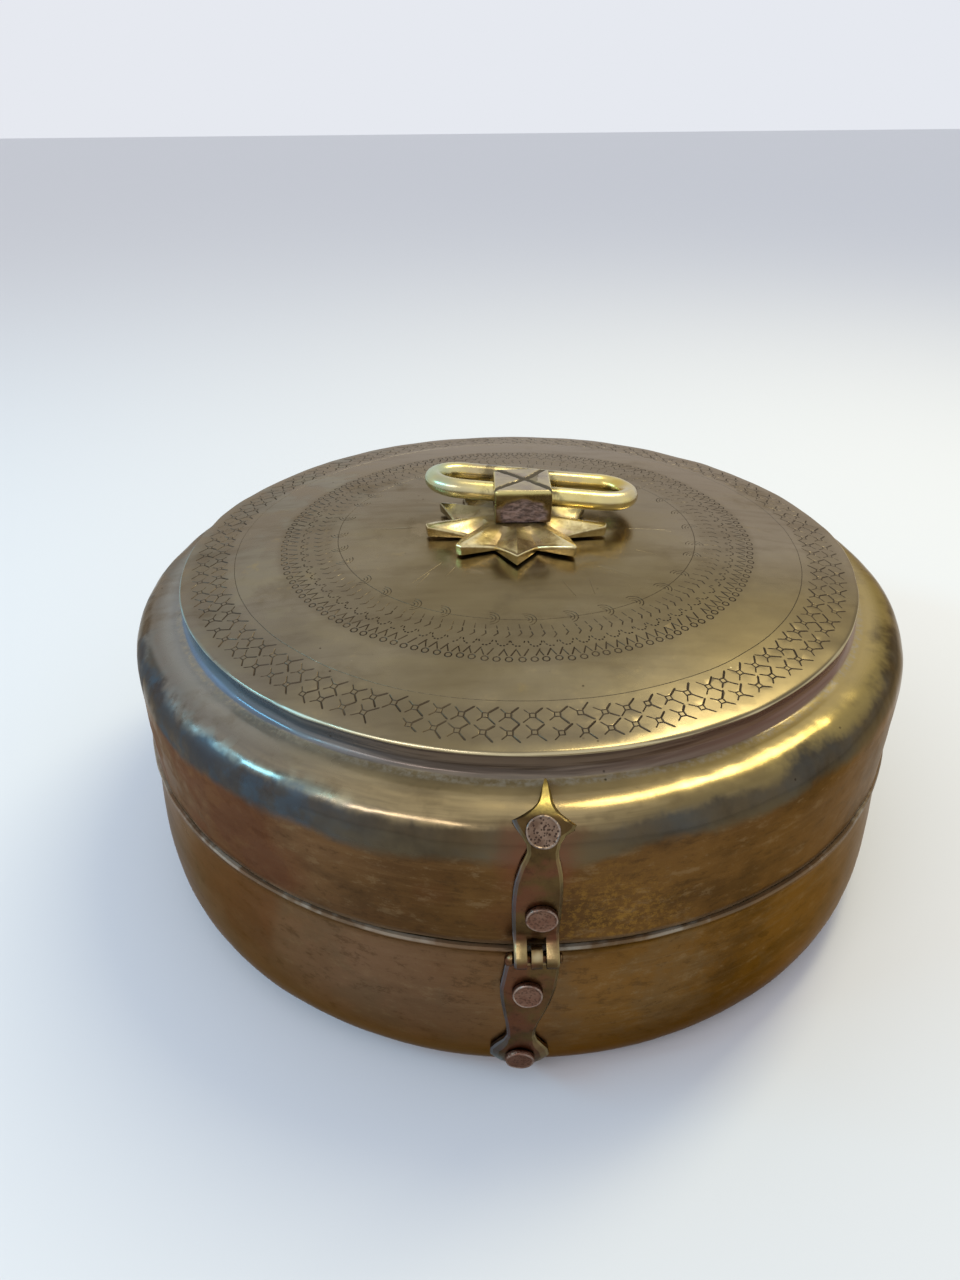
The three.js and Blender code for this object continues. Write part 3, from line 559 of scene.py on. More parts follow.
# Arms of a cross figure: which way they go, half width, depth and how often they were struck
CROSS_ARMS = [
    (1, 1, 0.36, 0.32, 1.0), (1, -1, 0.34, 0.3, 0.97),
    (-1, 1, 0.26, 0.2, 0.93), (-1, -1, 0.26, 0.21, 0.92),
]
CROSS_ROWS = [(115.3, 0.0), (122.1, 0.035)]
CROSSES_PER_ROW = 104
CROSS_REACH = 5.1
CROSS_SQUARE = 0.85
FAINT_ARC = (radians(232), radians(252))
SCRIBED_CIRCLES = [(109.5, 0.15, 0.12), (69.8, 0.17, 0.14)]
BEADS_PER_RING = 146
BEAD_RING_RADIUS = 90.6
BEAD_RADIUS = 1.15
SCALLOPS_PER_RING = 98
SCALLOP_RADIUS = 81.6
SCALLOP_SIZE = 2.3
SCALLOP_MARKS = 6
COMB_TEETH = 126
COMB_RADIUS = 77
HOOKS_PER_RING = 32
HOOK_SIZES = (1.0, 2.2, 3.4)
SCRATCH_COUNT = 14
FORCES = (0.7, 1.1)


def struck_places(rng, count, radius, sway, scatter):
    """Each figure's place in a ring, a little off, and how strongly it was struck and still shows."""
    for i in range(count):
        angle = 2 * pi * i / count + rng.gauss(0, sway)
        here = radius + (rng.gauss(0, scatter) if scatter else 0)
        worn = 1.25 + 0.5 * lumps(polar(2, angle, 0), 1, 18)
        yield here, angle, rng.uniform(*FORCES) * worn


def engrave_crosses(engraving, rng):
    for row, (radius, shift) in enumerate(CROSS_ROWS):
        for i in range(CROSSES_PER_ROW):
            angle = 2 * pi * (i + shift) / CROSSES_PER_ROW + rng.gauss(0, 0.0022)
            here = radius + rng.gauss(0, 0.22)
            turn = rng.gauss(0, 0.07)
            force = rng.uniform(*FORCES)
            faint = row == 1 and FAINT_ARC[0] < angle % (2 * pi) < FAINT_ARC[1]
            if faint and rng.random() < 0.12:
                continue
            for along, inward, half, depth, chance in CROSS_ARMS:
                if rng.random() > chance:
                    continue
                way = atan2(inward, along) + turn + rng.gauss(0, 0.05)
                reach = CROSS_REACH * rng.uniform(0.85, 1.05) * (1 if along > 0 else 0.8)
                ends = [
                    in_place(here, angle, share * cos(way), share * sin(way))
                    for share in (CROSS_SQUARE * 1.1, reach)
                ]
                engraving.stroke(ends, half * rng.uniform(0.85, 1.15), depth * force)
            square = [
                in_place(here, angle, CROSS_SQUARE * a, CROSS_SQUARE * b)
                for a, b in ((1, 1), (-1, 1), (-1, -1), (1, -1))
            ]
            engraving.stroke(square, 0.24, 0.22 * force, closed=True)


def engrave_circles(engraving):
    steps = 200
    for radius, half, depth in SCRIBED_CIRCLES:
        angles = [2 * pi * i / steps for i in range(steps)]
        line = [in_place(radius + 0.12 * sin(5 * angle), angle, 0, 0) for angle in angles]
        engraving.stroke(line, half, depth, closed=True)


def engrave_beads(engraving, rng):
    """A ring of little circles, each with a long and a short stem leaning inwards."""
    for here, angle, force in struck_places(rng, BEADS_PER_RING, BEAD_RING_RADIUS, 0.0015, 0.2):
        ring = arc_points(here, angle, 0, BEAD_RADIUS, 0, 2 * pi, 8)[:-1]
        engraving.stroke(ring, 0.25, 0.24 * force, closed=True)
        long_stem = [in_place(here, angle, 0.45, 1.5), in_place(here, angle, 2.2, 5.4)]
        engraving.stroke(long_stem, 0.28, 0.26 * force)
        if rng.random() < 0.9:
            short_stem = [in_place(here, angle, -0.45, 1.5), in_place(here, angle, -1.75, 4.8)]
            engraving.stroke(short_stem, 0.23, 0.21 * force)


def engrave_scallops(engraving, rng):
    """A ring of arches, open towards the centre, struck with short chisel marks."""
    for here, angle, force in struck_places(rng, SCALLOPS_PER_RING, SCALLOP_RADIUS, 0.0015, 0):
        arc = arc_points(here, angle, 0.9, SCALLOP_SIZE, pi * 1.02, pi * 1.98, SCALLOP_MARKS, 1.5)
        for k, (start, end) in enumerate(zip(arc, arc[1:])):
            if rng.random() < 0.93:
                heavy = 1 - abs(k - (SCALLOP_MARKS - 1) / 2) / SCALLOP_MARKS
                ends = [start + (end - start) * 0.1, start + (end - start) * 0.94]
                engraving.stroke(ends, 0.42 * heavy, 0.44 * heavy * force)


def engrave_comb(engraving, rng):
    """A ring of short bent teeth, pointing towards the centre."""
    for here, angle, force in struck_places(rng, COMB_TEETH, COMB_RADIUS, 0.0018, 0.25):
        bends = ((-0.8, -2.4), (0.6, -0.6), (0.1, 1.2))
        head = [in_place(here, angle, along, inward) for along, inward in bends]
        engraving.stroke(head, 0.26, 0.192 * force)
        end = in_place(here, angle, -0.3, 4.2 + rng.gauss(0, 0.4))
        engraving.stroke([in_place(here, angle, 0.1, 1.7), end], 0.2, 0.128 * force)


def engrave_hooks(engraving, rng):
    """Curls of three arcs, one inside another, along the inner circle."""
    for i in range(HOOKS_PER_RING):
        angle = 2 * pi * (i + rng.uniform(-0.15, 0.15)) / HOOKS_PER_RING
        lean = rng.gauss(0.3, 0.15)
        for size in HOOK_SIZES:
            arc = arc_points(SCRIBED_CIRCLES[1][0], angle, 0.3, size, lean - 1.6, lean + 1.6, 7)
            engraving.stroke(arc, 0.19, 0.2 * rng.uniform(*FORCES))


def engrave_scratches(engraving, rng):
    """Long faint scratches round the handle."""
    for _ in range(SCRATCH_COUNT):
        angle = rng.uniform(0, 2 * pi)
        start = rng.uniform(38, 52)
        length = rng.uniform(7, 17)
        lean = rng.gauss(0, 2.4)
        ends = [in_place(start + length, angle, lean, 0), in_place(start, angle, 0, 0)]
        engraving.stroke(ends, 0.12, 0.05)


def engraved_disc():
    rng = random.Random(11)
    engraving = Engraving()
    engrave_crosses(engraving, rng)
    engrave_circles(engraving)
    for engrave in (engrave_beads, engrave_scallops, engrave_comb, engrave_hooks, engrave_scratches):
        engrave(engraving, rng)
    return engraving


def groove_depths(points, strokes):
    """How deep each point lies in the strokes: deepest on their lines, nothing at their edges."""
    tree = KDTree(len(points))
    for i, point in enumerate(points):
        tree.insert(point.to_3d(), i)
    tree.balance()
    depths = [0.0] * len(points)
    for line, half, depth, closed in strokes:
        ends = line + line[:1] if closed else line[1:-1]
        for a, b in zip(ends, ends[1:]):
            run = b - a
            for _, i, _ in tree.find_range(a.lerp(b, 0.5).to_3d(), half + run.length / 2):
                share = min(1, max(0, (points[i] - a).dot(run) / run.length_squared))
                distance = (points[i] - a - run * share).length
                depths[i] = max(depths[i], depth * (1 - distance / (half * 0.95)))
    return depths


GRID_ROW_SHARE = 0.866
FINE_RADIUS = 46
FINE_SPACING = 1.9


def grid_points(inner, outer, fine, coarse):
    """Points of a triangular grid in a ring, closer together near its middle."""
    points = []
    for spacing, low, high in ((fine, inner, FINE_RADIUS), (coarse, FINE_RADIUS, outer)):
        row_spacing = spacing * GRID_ROW_SHARE
        rows = ceil(high / row_spacing)
        columns = ceil(high / spacing) + 1
        for row in range(-rows, rows + 1):
            shift = spacing / 2 * (row % 2)
            for column in range(-columns, columns):
                point = Vector((column * spacing + shift, row * spacing * GRID_ROW_SHARE))
                if low + spacing * 0.3 < point.length < high - spacing * 0.3:
                    points.append(point)
    return points


def triangulated(loops, lines=(), free=()):
    """Triangles over flat points that keep to closed loops and open lines."""
    flat = []
    edges = []
    for points, closed in [(loop, True) for loop in loops] + [(line, False) for line in lines]:
        start = len(flat)
        flat += points
        edges += [(start + i, start + i + 1) for i in range(len(points) - 1)]
        if closed:
            edges.append((start + len(points) - 1, start))
    points, _, faces, sources, _, _ = delaunay_2d_cdt(flat + list(free), edges, [], 0, 1e-5)
    return points, faces, sources


def add_disc(shape, outer_row, outer_radius, surface, engraving=None, coarse=3.8, flip=False):
    """Fills a disc with a hole for the stem, with its strokes cut in. Returns the hole's row."""
    count = len(outer_row)
    hole_centre = Vector((POST_SHIFT, 0))
    outline = [point.xy for point in round_row(outer_radius, 0, count)]
    hole = [point.xy + hole_centre for point in round_row(STEM_HOLE_RADIUS, 0, STEM_HOLE_STEPS)]
    loops, lines = engraving.outlines() if engraving else ([], [])
    grid = grid_points(STEM_HOLE_RADIUS, outer_radius, FINE_SPACING if engraving else coarse, coarse)
    free = [point for point in grid if (point - hole_centre).length > STEM_HOLE_RADIUS + 0.5]
    points, faces, sources = triangulated([outline, hole] + loops, lines, free)
    depths = groove_depths(points, engraving.strokes) if engraving else [0.0] * len(points)
    ids = []
    hole_row = [None] * len(hole)
    for point, depth, source in zip(points, depths, sources):
        ring = next((k for k in source if k < count), None)
        if ring is not None:
            ids.append(outer_row[ring])
            continue
        ids.append(shape.add([(point.x, point.y, surface(point.length) - depth)])[0])
        for k in source:
            if count <= k < count + len(hole):
                hole_row[k - count] = ids[-1]
    for face in faces:
        if (mean(points[k] for k in face) - hole_centre).length < STEM_HOLE_RADIUS * 0.98:
            continue
        deep = mean(depths[k] for k in face)
        corners = [ids[k] for k in face]
        shape.face(corners[::-1] if flip else corners, min(1, 0.35 + 6 * deep) if deep > 0.01 else 0.0)
    return hole_row


# Materials


def srgb(colour):
    """Linear values for a colour written as sRGB values from 0 to 255."""
    return tuple(
        (c / 255 / 12.92) if c <= 10.31 else ((c / 255 + 0.055) / 1.055) ** 2.4 for c in colour
    )


class Field:
    """A number or a colour that nodes work out over a surface. Numbers can be added and multiplied."""

    def __init__(self, finish, socket):
        self.finish = finish
        self.socket = socket

    def worked(self, operation, a, b=0.0):
        return self.finish.field("ShaderNodeMath", 0, {0: a, 1: b}, operation=operation)

    def __add__(self, other):
        return self.worked("ADD", self, other)

    def __sub__(self, other):
        return self.worked("SUBTRACT", self, other)

    def __rsub__(self, other):
        return self.worked("SUBTRACT", other, self)

    def __mul__(self, other):
        return self.worked("MULTIPLY", self, other)

    __rmul__ = __mul__

    def __abs__(self):
        return self.worked("ABSOLUTE", self)

    def most(self, other):
        return self.worked("MAXIMUM", self, other)

    def rise(self, low, high):
        """From 0 at low to 1 at high, smoothly, whichever of the two is larger."""
        inputs = {"Value": self, "From Min": low, "From Max": high}
        return self.finish.field("ShaderNodeMapRange", 0, inputs, interpolation_type="SMOOTHSTEP")

    def levels(self, low, high):
        """From low where it is 0 to high where it is 1, and no further."""
        return self.finish.field("ShaderNodeMapRange", 0, {"Value": self, "To Min": low, "To Max": high})


class Finish:
    """A metal finish made of nodes. Places are in millimetres, and a noise's scale is per metre."""

    def __init__(self, name):
        self.material = bpy.data.materials.new(name)
        self.material.use_nodes = True
        self.tree = self.material.node_tree
        self.metres = self.field("ShaderNodeTexCoord", "Object")
        self.place = self.vector("MULTIPLY", self.metres, (1 / MM, 1 / MM, 1 / MM))
        self.x, self.y, self.z = (
            self.field("ShaderNodeSeparateXYZ", axis, {0: self.place}) for axis in "XYZ"
        )

    def link(self, target, value):
        if isinstance(value, Field):
            self.tree.links.new(value.socket, target)
        elif isinstance(value, tuple) and len(target.default_value) == 4:
            target.default_value = (*srgb(value), 1)
        else:
            target.default_value = value

    def field(self, kind, output, inputs=(), **settings):
        made = self.tree.nodes.new(kind)
        for key, value in settings.items():
            setattr(made, key, value)
        for key, value in dict(inputs).items():
            self.link(made.inputs[key], value)
        return Field(self, made.outputs[output])

    def vector(self, operation, a, b=(0, 0, 0), output="Vector"):
        return self.field("ShaderNodeVectorMath", output, {0: a, 1: b}, operation=operation)

    def noise(self, scale, detail=3.0, roughness=0.6):
        """Cloudy values round 0.5. With a scale for each axis, the clouds are drawn out."""
        place = self.metres
        if isinstance(scale, tuple):
            place, scale = self.vector("MULTIPLY", place, scale), 1
        inputs = {"Vector": place, "Scale": scale, "Detail": detail, "Roughness": roughness}
        return self.field("ShaderNodeTexNoise", "Fac", inputs)

    def cells(self, scale):
        """How far it is to the nearest of many scattered points."""
        return self.field("ShaderNodeTexVoronoi", "Distance", {"Vector": self.metres, "Scale": scale})

    def mark(self, name):
        return self.field("ShaderNodeAttribute", "Fac", attribute_name=name)

    def from_axis(self):
        flat = self.vector("MULTIPLY", self.place, (1, 1, 0))
        return self.vector("LENGTH", flat, output="Value")

    def spot(self, centre, radius, soft, ragged, scale):
        """A patch with ragged edges round a place."""
        share = self.vector("DISTANCE", self.place, centre, "Value") * (1 / radius)
        return (share + 2 * ragged * (self.noise(scale, 4) - 0.5)).rise(1, 1 - soft)

    def layers(self, base, *layers):
        """A colour with others laid over it. Each layer is its share and its colour."""
        for share, colour in layers:
            inputs = {"Factor": share, "A": base, "B": colour}
            base = self.field("ShaderNodeMix", "Result", inputs, data_type="RGBA")
        return base

    def finish(self, colour, roughness, height, bump, metallic=1.0, edge_tint=(1, 1, 1)):
        """Sets the shader's inputs. Height is in units of 0.3 mm, and bump is how strongly it shows."""
        bumped = self.field("ShaderNodeBump", 0, {"Strength": bump, "Distance": 0.3 * MM, "Height": height})
        shader = self.tree.nodes["Principled BSDF"].inputs
        shader["Specular Tint"].default_value = (*edge_tint, 1)
        self.link(shader["Base Color"], colour)
        self.link(shader["Metallic"], metallic)
        self.link(shader["Roughness"], roughness)
        self.link(shader["Normal"], bumped)
        return self.material


def scuffs(f):
    """Layers of fine rubbed specks and of grime for a beaten wall."""
    fine = f.noise((110, 110, 230), 6, 0.78)
    return (0.32 * fine.rise(0.53, 0.66), (140, 116, 84)), (0.42 * fine.rise(0.47, 0.35), (60, 44, 30))


def lid_finish():
    """Olive-brown disc painted lighter towards the back as painted reflection, a step painted dark as
    painted shade, painted cool reflection on the left and warm on the right, painted shade on the lower
    shoulder, a dark warm wall that is partly painted dark reflection, and dirt in the strokes.
    """
    f = Finish("lid_brass")
    cloudy = f.noise(11, 5, 0.62)
    patchy = f.noise(34, 5, 0.65)
    grain = f.noise(150, 5, 0.7)
    brushed = f.noise((14, 14, 420), 4, 0.62)
    wiped = f.noise((22, 110, 60), 5, 0.65)
    mottled = f.noise((24, 24, 55), 5, 0.68)
    speckled = f.noise(420, 5, 0.85).rise(0.46, 0.6)
    engraved = f.mark("engraved")
    radius = f.from_axis()
    ragged = 14 * (patchy - 0.5)
    # Painted light: masks for a painted cool, bluish-grey reflection over the left of the lid and a painted
    # warm, golden reflection over its right.
    cool_lit_left = (f.x + ragged).rise(-20, -120)
    warm_lit_right = (f.x + ragged).rise(0, 100)
    in_front = f.y.rise(0, -70)
    from_edge = radius - DISC_RADIUS
    over_rim = f.z - DISC_Z
    over_groove = f.z - GROOVE_Z
    on_disc = from_edge.rise(0.2, -0.3) * over_rim.rise(-1.39, -0.79)

    inner_bands = radius.rise(70, 74) * radius.rise(94.5, 91.5)
    outer_bands = radius.rise(111, 114) * radius.rise(128, 124)
    # Painted shade: a broad patch at the front right of the disc, painted darker to offset the right lamp's
    # glare there, and a little rougher.
    glare_shade_patch = f.spot((78, -88, 119), 74, 0.9, 0.3, 20)
    disc = f.layers(
        (127, 113, 84),
        (cloudy.rise(0.36, 0.64), (150, 137, 110)),
        # Painted reflection: the disc is painted lighter and greyer towards the back and on the right,
        # darker at the front, and greyer on the left.
        (f.y.rise(0, 130), (176, 174, 170)),
        (0.4 * f.y.rise(-70, -120), (116, 101, 72)),
        (0.55 * cool_lit_left, (128, 125, 121)),
        (0.45 * f.y.rise(-30, 30), (146, 140, 128)),
        (0.55 * f.x.rise(30, 90) * f.y.rise(-70, 0), (158, 148, 136)),
        (0.22 * wiped.rise(0.46, 0.7), (152, 138, 104)),
        (0.22 * wiped.rise(0.5, 0.34), (92, 78, 58)),
        (0.35 * patchy.rise(0.55, 0.7), (96, 84, 64)),
        # Painted shade over the front-right patch.
        (0.75 * glare_shade_patch, (104, 93, 70)),
        (0.35 * grain.rise(0.58, 0.68) * cloudy.rise(0.45, 0.6), (160, 142, 104)),
        (0.7 * f.spot((-2, -103, 119), 5, 0.6, 0.4, 200), (176, 146, 70)),
        (0.7 * inner_bands.most(outer_bands) * cloudy.levels(0.1, 0.6), (104, 93, 76)),
        (0.6 * radius.rise(47, 36) * f.noise(75, 4).rise(0.5, 0.6), (158, 144, 118)),
    )

    in_step = from_edge.rise(0.8, -0.2) * over_rim.rise(-0.49, -0.99)
    # Painted highlight: a pale line along the foot of the step at the front, bluish on the left.
    foot_highlight_tone = f.layers((146, 132, 114), (cool_lit_left, (118, 138, 166)))
    # Painted shade: the step under the rim is painted dark, standing for the shade and dark reflection of
    # the undercut, with lighter brushed streaks.
    step = f.layers(
        (78, 66, 56),
        (brushed.rise(0.4, 0.6), (124, 108, 92)),
        # Painted cool reflection on the left, painted warm reflection on the right.
        (cool_lit_left * brushed.levels(0.5, 1.1), (72, 104, 120)),
        (0.6 * warm_lit_right, (126, 84, 62)),
        # Painted highlight along the step's foot.
        (over_groove.rise(1.41, 0.61) * brushed.levels(-0.2, 1.0) * in_front, foot_highlight_tone),
    )

    # Painted shade: dark grey patches on the left of the ledge, beside the shoulder's highlight.
    shade_beside_highlight = f.x.rise(-30, -90) * f.noise(40, 5, 0.7).rise(0.46, 0.6) * over_groove.rise(-1.39, -2.39)
    ledge = f.layers(
        (122, 105, 74),
        (brushed.rise(0.36, 0.64), (166, 145, 104)),
        # Painted cool reflection on the left, painted warm reflection on the right.
        (cool_lit_left, (126, 122, 114)),
        (warm_lit_right, (152, 132, 80)),
        (0.45 * patchy.rise(0.52, 0.68), (88, 74, 54)),
        # Painted shade beside the highlight.
        (0.8 * shade_beside_highlight, (76, 72, 66)),
    )
    # Painted shade: the lower shoulder below the highlight is painted dark, with patches, and bluer on the
    # left as painted cool reflection.
    shoulder_shade_tone = f.layers(
        (66, 56, 42),
        (patchy.rise(0.35, 0.65), (90, 78, 58)),
        (f.noise(22, 4).rise(0.42, 0.64) * brushed.levels(0.2, 0.9), (82, 84, 80)),
        # Painted cool reflection on the left.
        (cool_lit_left * cloudy.levels(0.3, 1.1), (70, 76, 84)),
        (cool_lit_left * f.noise(60, 4).rise(0.45, 0.6), (70, 84, 94)),
        (0.7 * f.spot((2, -148, 102), 34, 0.9, 0.5, 50), (106, 86, 56)),
    )
    lowered = 4.2 * f.x.rise(5, 35)
    drift = f.z + 0.8 * ragged
    # The painted shade begins below a ragged line that stands higher on the right.
    shoulder = f.layers(ledge, ((drift - 0.3 * lowered).rise(108, 104.8), shoulder_shade_tone))

    # Painted light: the lowest 2 mm of the lid's wall, painted paler and duller to offset the dark
    # reflection of the seam gap below it.
    lowest = f.z.rise(LID_RIM_Z + 2.2, LID_RIM_Z + 0.2)
    # The wall's dark warm tone is partly its own and partly painted shade, a painted dark reflection that
    # sets it apart from the shoulder; its mottles, scuffs, stains and golden speckles are its own.
    wall = f.layers(
        (86, 60, 34),
        (cloudy.rise(0.4, 0.62), (108, 77, 42)),
        (0.3 * brushed.rise(0.5, 0.68), (118, 88, 54)),
        (0.5 * mottled.rise(0.52, 0.36), (60, 43, 28)),
        # Painted cool light on the left: paler and greyer.
        (cool_lit_left * mottled.levels(0.1, 1.3), (126, 98, 80)),
        *scuffs(f),
        (0.5 * f.x.rise(20, -30) * f.noise(16, 3).rise(0.5, 0.62), (100, 56, 38)),
        (0.5 * f.spot((22, -149, 71), 32, 0.9, 0.6, 45) * speckled, (156, 116, 52)),
        # Painted light: paler at the wall's lowest edge.
        (0.7 * lowest, (112, 92, 68)),
    )

    crease = from_edge.rise(-0.1, 0.6) * from_edge.rise(3.3, 1.8) * over_groove.rise(-1.69, -0.89)
    gritty = crease * f.noise(520, 5, 0.75).rise(0.4, 0.66) * in_front
    stain = f.spot((0, -148, 98), 17, 0.8, 0.5, 90) * over_groove.rise(-1.69, -4.19)
    # Painted highlight: a pale line along the disc's rolled rim, teal on the left.
    rim = from_edge.rise(-0.9, -0.55) * over_rim.rise(-1.29, -0.89)
    rim_highlight_tone = f.layers((224, 208, 164), (f.x.rise(-40, -100), (164, 204, 206)))
    pits = f.cells(190).rise(0.1, 0.04) * f.noise(24, 2).rise(0.56, 0.62)
    glints = f.cells(120).rise(0.06, 0.03) * f.noise(60, 2).rise(0.6, 0.64)
    colour = f.layers(
        shoulder,
        # Painted shade: the darker wall below a ragged line that stands higher on the right.
        ((drift - lowered).rise(98, 93.5), wall),
        (0.6 * stain, (112, 62, 46)),
        (in_step, step),
        (gritty, (150, 138, 116)),
        (on_disc, disc),
        # Painted highlight along the rim.
        (rim * patchy.levels(0.3, 0.9), rim_highlight_tone),
        (0.8 * pits, (48, 38, 28)),
        (glints, (190, 178, 150)),
        (0.85 * engraved, (54, 41, 30)),
    )

    hazy = f.x.rise(-30, -80) * f.noise(55, 3).rise(0.44, 0.6)
    roughness = (0.5 * patchy + 0.5 * grain).levels(0.08, 0.3) + 0.05 * on_disc
    roughness += 0.12 * glare_shade_patch * on_disc + 0.3 * engraved + 0.3 * hazy + 0.14 * f.z.rise(100, 94)
    dented = from_edge.rise(0.5, 4) * abs(f.x).rise(20, 50)
    height = 0.3 * grain + 0.4 * brushed + 2 * f.noise(48, 2, 0.5) + 5 * f.noise(80, 2, 0.5) * dented
    beside_step = from_edge.rise(-0.2, 0.2) * from_edge.rise(10.5, 4) * f.z.rise(100, 106)
    dull = in_step.most(beside_step).most(lowest).most(0.6 * engraved)
    return f.finish(colour, roughness, height, 0.2, 1 - 0.65 * dull, (0.68, 0.58, 0.48))


def body_finish():
    """Dark olive and reddish brown, partly a painted dark reflection, with horizontal streaks, painted cool
    light on the left, painted shade towards the right, a painted warm reflection near the base, and a
    slightly paler lip with painted highlights.
    """
    f = Finish("body_brass")
    cloudy = f.noise(12, 5, 0.62)
    patchy = f.noise(40, 5, 0.65)
    grain = f.noise(150, 5, 0.7)
    brushed = f.noise((14, 14, 420), 4, 0.62)
    mottled = f.noise((22, 22, 60), 5, 0.68)
    lip = f.z.rise(RIM_Z - 1.4, RIM_Z - 0.6)
    inner = f.mark("inner")
    # The lip's own paler tone, with pale grey patches that are worn and also painted highlight.
    lip_tone_and_highlight = f.layers((92, 78, 60), (f.noise(32, 4, 0.7).rise(0.5, 0.6), (158, 154, 140)))
    inside = f.layers(
        (112, 94, 62),
        (cloudy.rise(0.4, 0.62), (146, 126, 88)),
        (0.4 * patchy.rise(0.5, 0.66), (96, 84, 66)),
    )
    colour = f.layers(
        # The dark warm brown is partly the body's own tone and partly a painted dark reflection.
        (92, 63, 31),
        (cloudy.rise(0.38, 0.62), (118, 84, 44)),
        (0.35 * brushed.rise(0.5, 0.66), (124, 98, 66)),
        (0.5 * mottled.rise(0.54, 0.36), (64, 48, 34)),
        # Painted light: paler and greyer on the left.
        (f.x.rise(30, -60) * mottled.levels(0.2, 1.4), (128, 98, 74)),
        (0.6 * patchy.rise(0.48, 0.62) * grain.levels(0.1, 1.0), (98, 84, 64)),
        # Painted shade: darker towards the right side.
        (0.45 * f.x.rise(70, 130), (84, 62, 40)),
        *scuffs(f),
        (0.45 * f.x.rise(20, -30) * f.noise(15, 3).rise(0.48, 0.62), (104, 58, 34)),
        # Painted reflection: warmer and more orange towards the base.
        (0.6 * f.z.rise(35, 5), (108, 66, 26)),
        (lip * patchy, lip_tone_and_highlight),
        (inner, inside),
    )
    roughness = (0.5 * patchy + 0.5 * brushed).levels(0.2, 0.42) + 0.15 * inner
    height = 0.3 * grain + 0.4 * brushed + 2 * f.noise(44, 2, 0.5)
    return f.finish(colour, roughness, height, 0.2, 1 - 0.6 * lip, (0.66, 0.54, 0.42))


def inner_finish():
    """Duller brass for the pieces inside, rubbed bright on their marked faces."""
    f = Finish("inner_brass")
    cloudy = f.noise(14, 4)
    grain = f.noise(112, 5, 0.7)
    colour = f.layers(
        (104, 90, 62),
        (cloudy.rise(0.36, 0.64), (134, 118, 82)),
        (0.3 * grain.rise(0.55, 0.75), (104, 90, 62)),
        (f.mark("worn") * cloudy.levels(0.48, 0.96), (170, 150, 104)),
    )
    return f.finish(colour, (0.5 * cloudy + 0.5 * grain).levels(0.38, 0.58), grain, 0.2)


def strap_finish():
    """Dark olive brown with reddish patches; the filed edges are rubbed paler and carry painted highlights,
    bluish on the left and golden elsewhere; painted highlights on the lid strap's tip, the knuckles, the
    tongue and a left wing, and painted shade below the knuckles.
    """
    f = Finish("strap_brass")
    cloudy = f.noise(60, 4)
    grain = f.noise(380, 5, 0.7)
    over_pin = f.z - PIN_Z
    knuckle_highlight = over_pin.rise(5.5, 3.2) * over_pin.rise(0.5, 2.8)
    shade_below_knuckle = over_pin.rise(-0.3, -2.2) * over_pin.rise(-4, -2.8)
    left_wing_highlight = f.z.rise(18, 12) * f.x.rise(-8.5, -10.5)
    # The filed edges: rubbed paler and painted highlight, with a painted bluish reflection on the left.
    edge = f.layers(
        (124, 110, 76),
        (cloudy.rise(0.4, 0.6), (164, 146, 98)),
        (f.x.rise(-4, -6), (108, 116, 122)),
    )
    colour = f.layers(
        (72, 54, 32),
        (cloudy.rise(0.36, 0.64), (92, 72, 42)),
        (0.6 * f.noise(85, 3, 0.55).rise(0.42, 0.6), (104, 60, 46)),
        (0.45 * grain.rise(0.5, 0.68), (50, 36, 24)),
        (f.mark("worn") * cloudy.levels(0.2, 1.2), edge),
        # Painted highlight: the lid strap's tip, where it turns up onto the shoulder, painted gold.
        (0.8 * (f.z + 1.5 * grain).rise(110.5, 112.5), (204, 180, 104)),
        # Painted highlight: a golden band over the knuckles.
        (knuckle_highlight * grain.levels(0.0, 1.1), (184, 160, 108)),
        # Painted highlight: a pale spot on the top of the tongue, which lies in shade.
        (0.8 * f.spot((0, -PIN_OUT - 3, PIN_Z + 3.6), 2.4, 0.7, 0.2, 300), (188, 172, 132)),
        # Painted shade: darker just below the knuckles.
        (0.6 * shade_below_knuckle, (58, 44, 34)),
        # Painted highlight: a teal patch on a body strap's left wing.
        (0.7 * left_wing_highlight, (128, 150, 150)),
    )
    roughness = (0.5 * cloudy + 0.5 * grain).levels(0.2, 0.42)
    height = grain + 1.5 * f.noise(170, 2, 0.5)
    return f.finish(colour, roughness, height, 0.34, edge_tint=(0.74, 0.7, 0.66))


def copper_finish():
    """Brown rivet metal, speckled with dark pits, redder and smoother on the lower rivets."""
    f = Finish("rivet_copper")
    lower = f.z.rise(88, 78)
    cloudy = f.noise(260, 3)
    pits = (f.cells(1200).rise(0.46, 0.3) * f.noise(500, 2).levels(0.2, 2.2)).levels(0, 1)
    colour = f.layers(
        (104, 82, 66),
        (cloudy.rise(0.35, 0.65), (130, 108, 90)),
        (0.6 * lower, (118, 80, 66)),
        (pits * lower.levels(0.85, 0.4), (52, 38, 32)),
        (f.mark("worn") * f.noise(300, 2).levels(-0.6, 1.3), (176, 160, 146)),
    )
    return f.finish(colour, cloudy.levels(0.28, 0.48), 1 - pits, 0.3, edge_tint=(0.6, 0.5, 0.45))


